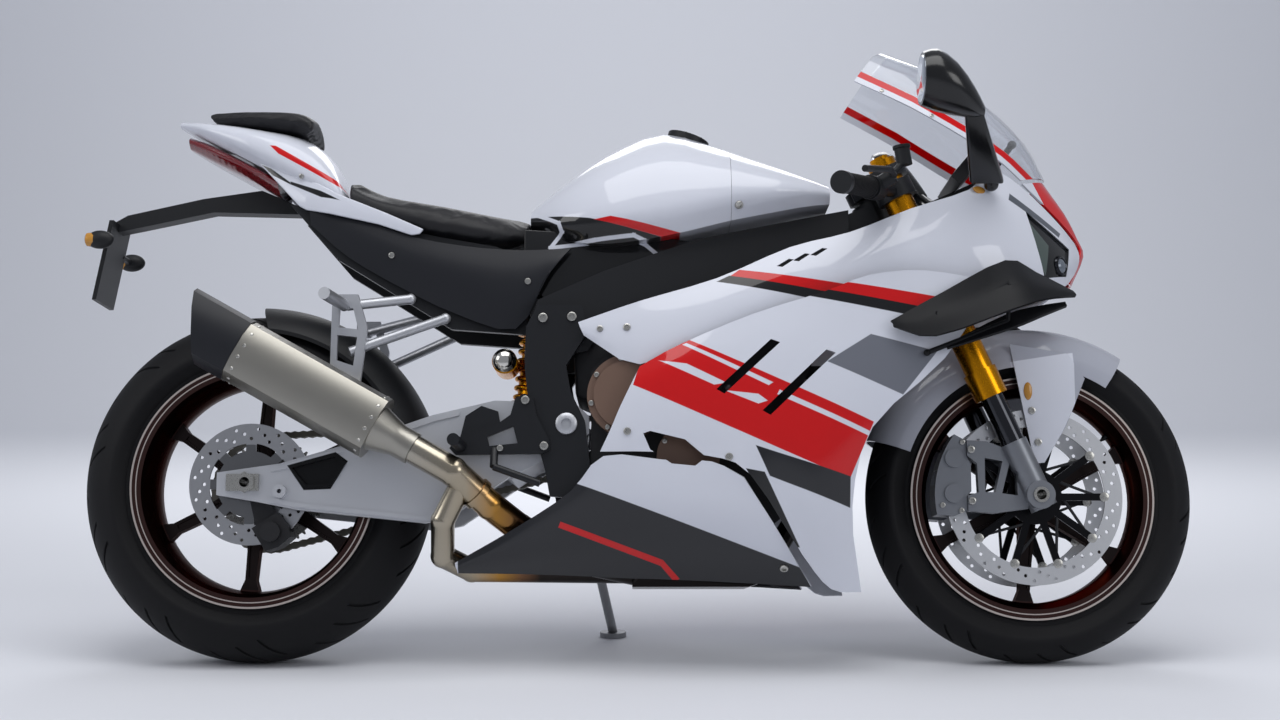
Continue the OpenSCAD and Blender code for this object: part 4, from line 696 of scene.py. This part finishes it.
# %% Tread
RIM_R, GROOVE_DEPTH, GROOVE_LIP = 223, 3.5, 1.3
TREAD_STEPS, GROOVE_PERIOD, CROWN_STEPS = 240, 24, 14
HALF_PERIOD = math.tau * GROOVE_PERIOD / TREAD_STEPS / 2
# Lanes of grooves: the step in a period, and where it starts and ends in fractions of the half width
LANES = [(2, 0.1, 0.55), (10, 0.42, 0.86), (17, 0.25, 0.72)]


def tyre_maker(axle, outer, width, crown, rim_width, slant):
    """A maker for a grooved tyre: its crown is an arc, and its lines slant by an angle to each side."""
    bead, half = rim_width / 2 - 9, width / 2
    edge = math.asin((half - 2) / crown)
    crown_line = [(outer - crown + crown * math.cos(a), crown * math.sin(a))
                  for a in (edge * (i / CROWN_STEPS - 1) for i in range(2 * CROWN_STEPS + 1))]
    shoulder = crown_line[0][0]
    wall = [(RIM_R - 10, bead), (RIM_R + 1, bead), (RIM_R + 5, bead + 1.5), (RIM_R + 9, bead + 1.2),
            (shoulder - 10, half - 5), (shoulder - 6, half - 3)]
    section = [(r, -y) for r, y in wall] + crown_line + wall[::-1] + [(RIM_R - 10, -bead)]

    def maker(bm):
        turned(bm, wheel_side(axle, 0), section, TREAD_STEPS)
        bmesh.ops.remove_doubles(bm, verts=bm.verts, dist=SEAM_MM)
        for v in bm.verts:
            turn = Matrix.Rotation(slant * abs(v.co.y) / half, 3, "Y")
            v.co = axle + turn @ (v.co - axle)
        grooves = []
        for face in bm.faces:
            spot = face.calc_center_median() - axle
            across = abs(spot.y) / half
            angle = math.atan2(spot.x, spot.z) - slant * across + (HALF_PERIOD if spot.y > 0 else 0)
            step = int(angle % math.tau / math.tau * TREAD_STEPS) % GROOVE_PERIOD
            if math.hypot(spot.x, spot.z) > shoulder and any(
                    step == lane[0] and lane[1] < across < lane[2] for lane in LANES):
                grooves.append(face)
        bmesh.ops.recalc_face_normals(bm, faces=bm.faces)
        bmesh.ops.inset_region(
            bm, faces=grooves, thickness=GROOVE_LIP, depth=-GROOVE_DEPTH, use_even_offset=True)

    return maker


front_tread = new_piece("front_tread", "front_wheel", tyre_maker(
    FRONT_AXLE, outer=300, width=120, crown=63, rim_width=102, slant=0.22), rubber)
rear_tread = new_piece("rear_tread", "rear_wheel", tyre_maker(
    REAR_AXLE, outer=320, width=190, crown=100, rim_width=164, slant=0.34), rubber)
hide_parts("front_tyre")
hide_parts("rear_tyre")
print("tread faces:", len(front_tread.data.polygons), len(rear_tread.data.polygons))

# %% [markdown]
# ## Seats
# The seats are foam under vinyl, so they swell between their edges. Cloth with a little pressure inside does
# that: the CAD solid is shrunk by a few millimetres, remeshed finely, blown up for 20 frames with no gravity,
# and no point may move further than a cap, so that the seat keeps close to its solid.

# %% Padded seats
PAD_VOXEL, PAD_SHRINK, PAD_CAP = 0.005, 0.004, 0.006


def padded_copy(name, node):
    """A copy of a node's solid, merged, shrunk and remeshed."""
    bm = bmesh.new()
    bm.from_mesh(nodes[node].data)
    bmesh.ops.remove_doubles(bm, verts=bm.verts, dist=MERGE_DIST)
    bm.normal_update()
    for v, n in [(v, v.normal.copy()) for v in bm.verts]:
        v.co -= n * PAD_SHRINK
    mesh = bpy.data.meshes.new(name)
    bm.to_mesh(mesh)
    bm.free()
    pad = bpy.data.objects.new(name, mesh)
    bpy.context.scene.collection.objects.link(pad)
    remesh = pad.modifiers.new("fine skin", "REMESH")
    remesh.mode, remesh.voxel_size = "VOXEL", PAD_VOXEL
    skin = bpy.data.meshes.new_from_object(pad.evaluated_get(bpy.context.evaluated_depsgraph_get()))
    pad.modifiers.clear()
    pad.data = skin
    skin.name = name
    return pad


def swell(pad, pressure=4, frames=20):
    """Blows the pad up as cloth, then keeps each point's way within the cap."""
    cloth = pad.modifiers.new("swell", "CLOTH")
    cloth.settings.use_pressure = True
    cloth.settings.uniform_pressure_force = pressure
    cloth.settings.effector_weights.gravity = 0
    for step in range(1, frames + 1):
        bpy.context.scene.frame_set(step)
    blown = pad.evaluated_get(bpy.context.evaluated_depsgraph_get()).data
    moves = [b.co - v.co for v, b in zip(pad.data.vertices, blown.vertices)]
    pad.modifiers.clear()
    for v, move in zip(pad.data.vertices, moves):
        v.co += move * min(1, PAD_CAP / max(move.length, 1e-9))
    bpy.context.scene.frame_set(1)


for name, node in (("saddle_pad", "rider_seat"), ("pillion_pad", "pillion_seat")):
    pad = padded_copy(name, node)
    swell(pad)
    pad.data.shade_smooth()
    pad.data.materials.clear()
    pad.data.materials.append(vinyl)
    soft = pad.modifiers.new("soft", "SUBSURF")
    soft.levels = soft.render_levels = 1
    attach(pad, "chassis")
    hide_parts(node)
    print(name, len(pad.data.vertices), "points")

# %% [markdown]
# ## Screws
# Fairings and frames are held by button-headed screws with a hexagon socket. A 12-sided head is inset on top,
# the inset ring is drawn in to a hexagon and pushed down, and the rim is bevelled. Each one stands on its
# seat, found on the node that it holds.

# %% Button screws
# Shares of a head's radius, the inset and the rounded rim, and of its height, the socket's depth
SOCKET_INSET, RIM_ROUND, SOCKET_DEPTH = 0.42, 0.25, 0.7


def round_edges(bm, edges, size, segments):
    """Rounds edges off by a bevel of a size in millimetres."""
    bmesh.ops.bevel(
        bm, geom=edges, offset=size, offset_type="OFFSET", segments=segments,
        affect="EDGES", profile=0.5, material=-1)


def screw(bm, place, r, height):
    """A button head with a hexagon socket, standing on its place."""
    head = bmesh.ops.create_cone(
        bm, cap_ends=True, segments=12, radius1=r, radius2=r, depth=height + 1,
        matrix=place @ Matrix.Translation((0, 0, height / 2 - 0.5)))["verts"]
    back = place.inverted()
    top = max({f for v in head for f in v.link_faces}, key=lambda f: (back @ f.calc_center_median()).z)
    rim = list(top.edges)
    bmesh.ops.inset_individual(bm, faces=[top], thickness=r * SOCKET_INSET)
    for v in top.verts:
        spot = back @ v.co
        corner = math.degrees(math.atan2(spot.y, spot.x)) % 60
        pull = math.cos(math.radians(30)) / math.cos(math.radians(corner - 30))
        v.co = place @ Vector((spot.x * pull, spot.y * pull, spot.z))
    floor = bmesh.ops.extrude_discrete_faces(bm, faces=[top])["faces"]
    down = place.to_3x3() @ Vector((0, 0, -height * SOCKET_DEPTH))
    bmesh.ops.translate(bm, vec=down, verts=floor[0].verts)
    round_edges(bm, rim, r * RIM_ROUND, segments=2)


PANEL_SCREWS = [
    # node, x, z, head radius, head height
    ("main_frame", 530, 616, 9, 5), ("main_frame", 582, 618, 9, 5), ("mid_cowls", 682, 406, 7, 3),
    ("mid_cowls", 860, 360, 7, 3), ("upper_cowls", 681, 594, 7, 3), ("upper_cowls", 633, 592, 6, 3),
    ("belly_cowls", 960, 170, 8, 4), ("tank_cover", 884, 826, 8, 4), ("tail_cowl", 80, 890, 5, 2.5),
    ("side_covers", 500, 690, 6, 3), ("side_covers", 250, 740, 6, 3), ("rearsets", 500, 466, 8, 5),
    ("rearsets", 534, 384, 8, 5), ("rearsets", 456, 380, 6, 4), ("windscreen", 1150, 1046, 4, 2),
    ("windscreen", 1240, 996, 4, 2), ("windscreen", 1320, 946, 4, 2),
]


def panel_screws(bm):
    for node, x, z, r, height in PANEL_SCREWS:
        for side in (-1, 1):
            screw(bm, seat(node, x, z, side), r, height)


new_piece("panel_screws", "chassis", panel_screws, steel)
print("panel screws:", 2 * len(PANEL_SCREWS))

# %% [markdown]
# The engine's three round covers are each held by a ring of eight screws, and the fender by two on each side.
# They are the same button heads, set on the seats found for them.

# %% Cover and fender screws
# x, z, the ring's radius and the side of each cover
CLUTCH, PUMP, GENERATOR = (684, 474, 68, -1), (790, 366, 50, -1), (800, 400, 78, 1)
COVER_SCREWS, COVER_TURN = 8, math.radians(12)


def cover_screws(bm):
    for x, z, ring, side in (CLUTCH, PUMP, GENERATOR):
        for k in range(COVER_SCREWS):
            a = math.tau * k / COVER_SCREWS + COVER_TURN
            place = seat("engine_covers", x + ring * math.cos(a), z + ring * math.sin(a), side)
            screw(bm, place, r=5, height=4)


def fender_screws(bm):
    for x, z in ((1420, 458), (1430, 400)):
        for side in (-1, 1):
            screw(bm, seat("front_fender", x, z, side), r=7, height=3)


new_piece("cover_screws", "chassis", cover_screws, steel)
new_piece("fender_screws", "steering", fender_screws, steel)
print("cover screws:", 3 * COVER_SCREWS)

# %% [markdown]
# The swingarm turns on a long bolt with a domed cap at each end, the shock's reservoir ends in a polished
# dome, and socket screws hold the front calipers. Caps and domes are turned on a lathe, so here too each is a
# profile spun round its axis.

# %% Pivot caps, reservoir dome and caliper screws
PIVOT_X, PIVOT_Y, PIVOT_Z = 573, 164, 425
PIVOT_CAP = [(0, 3), (9, 3), (9, 7), (15, 6.5), (19, 4), (20, -1), (0, -1)]
RESERVOIR_DOME = [(0, 17), (8, 16), (15, 12.5), (20, 7), (22.5, 0), (22.5, -1), (0, -1)]


def pivot_caps(bm):
    """A domed cap with a round recess on each end of the swingarm's pivot."""
    for side in (-1, 1):
        outwards = Matrix.Rotation(math.radians(-90 * side), 4, "X")
        turned(bm, Matrix.Translation((PIVOT_X, PIVOT_Y * side, PIVOT_Z)) @ outwards, PIVOT_CAP, steps=24)


def reservoir_cap(bm):
    """The polished dome on the outer end of the shock's reservoir."""
    turned(bm, seat("shock", 457, 548), RESERVOIR_DOME, steps=32)


def foot_screws(bm):
    """Socket screws that hold each front caliper to the fork's foot, and join its halves."""
    for side in (-1, 1):
        for x, z in ((1302, 384), (1302, 291)):
            screw(bm, seat("fork_feet", x, z, side), r=7, height=6)
        for x, z in ((1288, 398), (1250, 284), (1284, 274)):
            screw(bm, seat("front_calipers", x, z, side), r=5, height=4)


new_piece("pivot_caps", "chassis", pivot_caps, cast_silver)
new_piece("reservoir_cap", "chassis", reservoir_cap, polished)
new_piece("foot_screws", "steering", foot_screws, steel)
print("pivot caps at x", PIVOT_X, "z", PIVOT_Z)

# %% [markdown]
# ## Wheels' small parts
# A floating disc hangs on its carrier by ten buttons, turned from steel. The rear sprocket is held by nuts on
# the carrier. Each wheel has a valve stem through its barrel. Buttons and stems are spun profiles, and a nut
# is shown as a button head with its socket.

# %% Buttons, nuts and valves
DISC_Y, DISC_ARMS, BUTTON_RING = 68, 10, 127
SPROCKET_Y, NUTS, NUT_RING = 110, 6, 58
VALVE_TURN = math.radians(52)
BUTTON = [(0, 4.5), (5, 4.5), (8.5, 3.6), (8.5, -3.6), (5, -4.5), (0, -4.5)]
VALVE = [(0, 158), (3.2, 158), (3.2, 170), (2.4, 171), (2.4, 180), (5, 186), (6, 198), (0, 198)]


def around(place, radius, count):
    """Places evenly spaced on a ring round a place's z axis."""
    turns = [math.tau * k / count for k in range(count)]
    return [place @ Matrix.Translation((radius * math.cos(a), radius * math.sin(a), 0)) for a in turns]


def disc_buttons(bm):
    for y in (-DISC_Y, DISC_Y):
        for place in around(wheel_side(FRONT_AXLE, y), BUTTON_RING, DISC_ARMS):
            turned(bm, place, BUTTON, steps=16)


def sprocket_nuts(bm):
    for place in around(wheel_side(REAR_AXLE, SPROCKET_Y), NUT_RING, NUTS):
        screw(bm, place, r=8, height=6)


def valve(axle):
    def maker(bm):
        turned(bm, Matrix.Translation(axle) @ Matrix.Rotation(VALVE_TURN, 4, "Y"), VALVE, steps=16)

    return maker


new_piece("disc_buttons", "front_wheel", disc_buttons, steel)
new_piece("sprocket_nuts", "rear_wheel", sprocket_nuts, steel)
new_piece("front_valve", "front_wheel", valve(FRONT_AXLE), black_nylon)
new_piece("rear_valve", "rear_wheel", valve(REAR_AXLE), black_nylon)
print("disc buttons:", 2 * DISC_ARMS, "sprocket nuts:", NUTS)

# %% [markdown]
# ## Lamps and reflectors
# In front of each dark headlamp sits a projector: a ring with a domed lens. Both are round, so each is a
# profile spun round the line that stands out of the headlamp.

# %% Projectors
DOME = [(0, 7), (6, 6.4), (11, 4.4), (14, 1.5), (14, -2), (0, -2)]
BEZEL = [(14.2, 3), (16, 4), (19, 3), (20, -2), (14.2, -2), (14.2, 3)]
PROJECTOR_X, PROJECTOR_Z = 1476, 722


def at_projectors(profile):
    def maker(bm):
        for side in (-1, 1):
            turned(bm, seat("headlamps", PROJECTOR_X, PROJECTOR_Z, side), profile, steps=28)

    return maker


new_piece("projector_lenses", "chassis", at_projectors(DOME), clear_lens)
new_piece("projector_rings", "chassis", at_projectors(BEZEL), chrome)
print("projectors at x", PROJECTOR_X, "z", PROJECTOR_Z)

# %% [markdown]
# The reflectors and indicators are moulded amber caps. The ones at the tail are round, on stalks. The others
# are oval, and a scale along the axes of their own place stretches the spun profile to that.

# %% Indicators and reflectors
TAIL_LENS = [(0, 5), (8, 4.4), (12, 2), (13, -3), (13, -12), (0, -12)]


def lens_profile(r):
    """The profile of a low domed lens of a radius, 3 mm proud of its seat."""
    return [(0, 3), (r - 2, 2.6), (r - 0.5, 1.5), (r, -1), (0, -1)]


def oval(bm, place, profile, stretch):
    """A turned profile made oval by a stretch along its place's own axes."""
    before = set(bm.verts)
    turned(bm, place, profile, steps=28)
    bmesh.ops.scale(
        bm, vec=stretch, space=place.inverted(), verts=[v for v in bm.verts if v not in before])


def fender_reflectors(bm):
    for side in (-1, 1):
        oval(bm, seat("front_fender", 1414, 494, side), lens_profile(8), stretch=(1, 2.1, 1))


def nose_indicators(bm):
    for side in (-1, 1):
        oval(bm, seat("upper_cowls", 1316, 846, side), lens_profile(7), stretch=(2.4, 1, 1))


def facing_back(x, y, z):
    """A place whose z axis points to the rear."""
    return Matrix.Translation((x, y, z)) @ Matrix.Rotation(math.radians(-90), 4, "Y")


def tail_indicators(bm):
    for side in (-1, 1):
        turned(bm, facing_back(-308, 112 * side, 770), TAIL_LENS, steps=24)


new_piece("fender_reflectors", "steering", fender_reflectors, amber_lens)
new_piece("nose_indicators", "chassis", nose_indicators, amber_lens)
new_piece("tail_indicators", "chassis", tail_indicators, amber_lens)
print("amber lenses: 6")

# %% [markdown]
# ## Mirrors and dash
# A mirror's glass is an oval plate with a bevelled edge, set against the back of its shell. The dash is one
# sheet of black glass, as modern displays are: a slab with its edges bevelled, laid on its box.

# %% Mirror glass and display
MIRROR_PLATE = [(0, 1.6), (38, 1.6), (39.5, 0.4), (39.5, -0.5), (0, -0.5)]
DASH_PLACE, DASH_TILT = (1322, 0, 925), math.radians(-50)


def slab(bm, place, size, edge, segments):
    """A box of a size along its place's axes, with rounded edges."""
    corners = bmesh.ops.create_cube(bm, size=1, matrix=place @ Matrix.Diagonal((*size, 1)))["verts"]
    round_edges(bm, list({e for v in corners for e in v.link_edges}), edge, segments)


def mirror_plates(bm):
    for side in (-1, 1):
        oval(bm, facing_back(1190, 356 * side, 1002), MIRROR_PLATE, stretch=(1, 1.32, 1))


def display(bm):
    face = Matrix.Translation(DASH_PLACE) @ Matrix.Rotation(DASH_TILT, 4, "Y")
    slab(bm, face @ Matrix.Translation((0, 0, 11)), size=(84, 154, 4), edge=1.5, segments=2)


new_piece("mirror_glass", "chassis", mirror_plates, mirror_glass)
new_piece("dash_glass", "chassis", display, lamp_glass)
print("display tilted", round(math.degrees(-DASH_TILT)), "degrees")

# %% [markdown]
# ## Grips
# A rubber grip has ribs for the hand. Its profile is a row of small steps, spun round the bar, which leaves
# the clamp outwards, back and slightly up in the steering's frame.

# %% Ribbed grips
BAR_ROOT, BAR_WAY = Vector((22, -131, 35)), Vector((-0.477, -0.877, 0.059)).normalized()
# Along the bar: the flange's start, the first rib, the step from rib to rib and the grip's end
FLANGE_AT, RIB_AT, RIB_STEP, GRIP_END = 127, 132, 6, 241
RIBS, GRIP_R, RIB_R, FLANGE_R = 18, 17.4, 18.6, 20


def grips(bm):
    profile = [(0, FLANGE_AT), (FLANGE_R, FLANGE_AT), (FLANGE_R, FLANGE_AT + 4)]
    for k in range(RIBS):
        h = RIB_AT + RIB_STEP * k
        profile += [(GRIP_R, h), (RIB_R, h + 0.8), (RIB_R, h + 3.6), (GRIP_R, h + 4.4)]
    profile += [(GRIP_R, GRIP_END), (0, GRIP_END)]
    for side in (-1, 1):
        mirror = Matrix.Diagonal((1, -side, 1, 1))
        turned(bm, STEERING @ facing(mirror @ BAR_ROOT, mirror @ BAR_WAY), profile, steps=28)


new_piece("grips", "steering", grips, rubber)
print("grips:", RIBS, "ribs each")

# %% [markdown]
# ## Radiator core
# The core is a field of small pockets between flat tubes and fins. A grid gets a thickness, and then the
# faces of its front are inset and pushed in one by one. The pockets are drawn coarser than the real fins, to
# show.

# %% Radiator core
CORE_PLACE, CORE_TILT, CORE_AHEAD = (1078, 0, 440), math.radians(13), 18.4
CORE_HALF_HEIGHT, CORE_HALF_WIDTH = 128, 158
POCKETS_UP, POCKETS_ACROSS = 28, 44


def radiator_core(bm):
    face = Matrix.Translation(CORE_PLACE) @ Matrix.Rotation(CORE_TILT, 4, "Y")
    front = face @ Matrix.Translation((CORE_AHEAD, 0, 0)) @ Matrix.Rotation(math.radians(90), 4, "Y")
    bmesh.ops.create_grid(
        bm, x_segments=POCKETS_UP, y_segments=POCKETS_ACROSS, size=1,
        matrix=front @ Matrix.Diagonal((CORE_HALF_HEIGHT, CORE_HALF_WIDTH, 1, 1)))
    bmesh.ops.solidify(bm, geom=bm.faces[:], thickness=1.2)
    ahead = front.to_3x3() @ Vector((0, 0, 1))
    bm.normal_update()
    pockets = [f for f in bm.faces if f.normal.dot(ahead) > 0.9]
    bmesh.ops.inset_individual(bm, faces=pockets, thickness=1.0, depth=-0.8)


new_piece("radiator_core", "chassis", radiator_core, radiator_black, smooth=20)
print("radiator pockets:", POCKETS_UP * POCKETS_ACROSS)

# %% [markdown]
# ## Exhaust fittings
# The muffler's sheet is riveted to its end pieces. The rivets stand in two rows all round it, each where a
# line towards the muffler's axis meets the sheet.

# %% Rivets
MUFFLER = facing(MUFFLER_NOSE, MUFFLER_TAIL - MUFFLER_NOSE)
ROW_RIVETS, RIVET_REACH = 14, 140
FRONT_ROW, REAR_ROW = 40, (MUFFLER_TAIL - MUFFLER_NOSE).length - 74
RIVET = [(0, 1.6), (2, 1.3), (3.4, 0), (3.4, -1), (0, -1)]


def rivets(bm):
    for along in (FRONT_ROW, REAR_ROW):
        for k in range(ROW_RIVETS):
            a = math.tau * (k + 0.5) / ROW_RIVETS
            far = MUFFLER @ Vector((RIVET_REACH * math.cos(a), RIVET_REACH * math.sin(a), along))
            turned(bm, meet("muffler", far, MUFFLER @ Vector((0, 0, along))), RIVET, steps=12)


new_piece("muffler_rivets", "chassis", rivets, steel)
print("rivets:", 2 * ROW_RIVETS)

# %% [markdown]
# ## Fuel cap
# The cap has a raised rim with a ring of screws outside it, and a key cover in the middle. The rim is a spun
# profile and the cover a slab with its edges rounded.

# %% Fuel cap trim
CAP_PLACE, CAP_TILT, CAP_RISE = (796, 0, 987), math.radians(18), 4
CAP = Matrix.Translation(CAP_PLACE) @ Matrix.Rotation(CAP_TILT, 4, "Y") @ Matrix.Translation((0, 0, CAP_RISE))
CAP_RIM = [(22, -1), (22, 1.5), (24, 2.5), (30, 2.5), (31, 1.5), (31, -1), (22, -1)]
CAP_SCREWS, CAP_SCREW_RING = 7, 35.5


def cap_trim(bm):
    turned(bm, CAP, CAP_RIM, steps=40)
    for place in around(CAP, CAP_SCREW_RING, CAP_SCREWS):
        screw(bm, place, r=3.2, height=2)


def key_cover(bm):
    slab(bm, CAP @ Matrix.Translation((3, 0, 1)), size=(30, 16, 5), edge=2, segments=3)


new_piece("cap_trim", "chassis", cap_trim, cast_silver)
new_piece("key_cover", "chassis", key_cover, black_nylon)
print("fuel cap:", CAP_SCREWS, "screws")

# %% [markdown]
# ## Moulded fillers
# A flat moulding could be a box cut to shape, but an outline says its shape at once: it becomes one face, is
# extruded to a thickness and then bevelled all round, as a mould's edges are.

# %% Plates from outlines


def plate(bm, place, outline, thickness, bevel):
    """A flat moulding: an outline in the place's xy plane, centred on it, with bevelled edges."""
    bottom = bm.faces.new([bm.verts.new(place @ Vector((x, y, -thickness / 2))) for x, y in outline])
    grown = bmesh.ops.extrude_face_region(bm, geom=[bottom], use_keep_orig=True)["geom"]
    up = place.to_3x3() @ Vector((0, 0, thickness))
    top = [v for v in grown if isinstance(v, bmesh.types.BMVert)]
    bmesh.ops.translate(bm, vec=up, verts=top)
    edges = list({e for v in top for e in v.link_edges} | set(bottom.edges))
    round_edges(bm, edges, bevel, segments=3)


def side_view(y):
    """A place in the bike's side view at a distance y from its middle: x ahead, y up, z to the right."""
    return Matrix.Translation((0, y, 0)) @ Matrix.Rotation(math.radians(90), 4, "X")


print("a plate's place at the middle:", [round(c) for c in side_view(0).translation])

# %% [markdown]
# Between the arms of a front disc's carrier run thin slanting bars. Those of the right disc slant one way and
# those of the left the other, and each is a narrow plate in its bay.

# %% Carrier bars
STRUT_FOOT, STRUT_TIP, STRUT_HALF = 50, 119, 2.6
BAY = math.tau / DISC_ARMS


def carrier_struts(bm):
    """A slanting bar in each bay of the front discs' carriers, so that the two make a lattice."""
    for y, way in ((-DISC_Y, BAY), (DISC_Y, -BAY)):
        for k in range(DISC_ARMS):
            a, b = BAY * k, BAY * k + way
            foot = STRUT_FOOT * Vector((math.cos(a), math.sin(a)))
            tip = STRUT_TIP * Vector((math.cos(b), math.sin(b)))
            along = (tip - foot).normalized() * STRUT_HALF
            side = Vector((-along.y, along.x))
            bar = [foot - side, tip - side, tip + side, foot + side]
            plate(bm, wheel_side(FRONT_AXLE, y), bar, thickness=4, bevel=1)


new_piece("carrier_struts", "front_wheel", carrier_struts, satin_black)
print("carrier bars:", 2 * DISC_ARMS)

# %% [markdown]
# Four kinds of plates close the view between the main parts: the wide stalk round each mirror's rod, a skirt
# under the tank, the gearbox casing behind the clutch, and the white panel that runs on from the tail under
# the seat. The tail narrows to the back, so its panels are cut across and bent inwards there.

# %% Stalks, skirts, tail panels and casing
STALK_FOOT, STALK_RISE = Vector((1337, -186, 857)), math.radians(149)
STALK = [(-40, 8), (22, 8), (-40, 182), (-72, 182)]
SKIRT = [(492, 790), (560, 786), (600, 764), (760, 774), (820, 764), (720, 650), (560, 640), (492, 690)]
CASING = [(588, 480), (622, 466), (680, 548), (664, 604), (606, 604), (584, 548)]
STRIP = [
    (-20, 938), (0, 930), (20, 920), (57, 902), (110, 876), (150, 854), (190, 838), (240, 818), (308, 788),
    (301, 779), (285, 777), (226, 797), (90, 827), (76, 835)]
SKIRT_Y, CASING_Y = 103, -22
STRIP_Y, STRIP_BEND, STRIP_SLOPE = 118, 135, 0.3


def mirror_stalks(bm):
    for side in (-1, 1):
        mirror = Matrix.Diagonal((1, -side, 1, 1))
        place = mirror @ Matrix.Translation(STALK_FOOT) @ Matrix.Rotation(STALK_RISE, 4, "X")
        plate(bm, place, STALK, thickness=22, bevel=6)


def tank_skirts(bm):
    for y in (-SKIRT_Y, SKIRT_Y):
        plate(bm, side_view(y), SKIRT, thickness=5, bevel=1.5)


def tail_strips(bm):
    """White panels that run straight beside the seat, then bend in with the tail's narrowing sides."""
    for y in (-STRIP_Y, STRIP_Y):
        plate(bm, side_view(y), STRIP, thickness=6, bevel=2)
    bmesh.ops.bisect_plane(
        bm, geom=bm.verts[:] + bm.edges[:] + bm.faces[:], plane_co=(STRIP_BEND, 0, 0), plane_no=(1, 0, 0))
    for v in bm.verts:
        v.co.y -= math.copysign(max(0, STRIP_BEND - v.co.x) * STRIP_SLOPE, v.co.y)


def gearbox_casing(bm):
    plate(bm, side_view(CASING_Y), CASING, thickness=200, bevel=6)


new_piece("mirror_stalks", "chassis", mirror_stalks, gloss_black)
new_piece("tank_skirts", "chassis", tank_skirts, paint("skirt lacquer", PIPING, BLACK))
new_piece("tail_strips", "chassis", tail_strips, PAINTED["tail_cowl"])
new_piece("gearbox_casing", "chassis", gearbox_casing, dark_cast)
print("outlines:", len(STALK), len(SKIRT), len(STRIP), len(CASING), "corners")
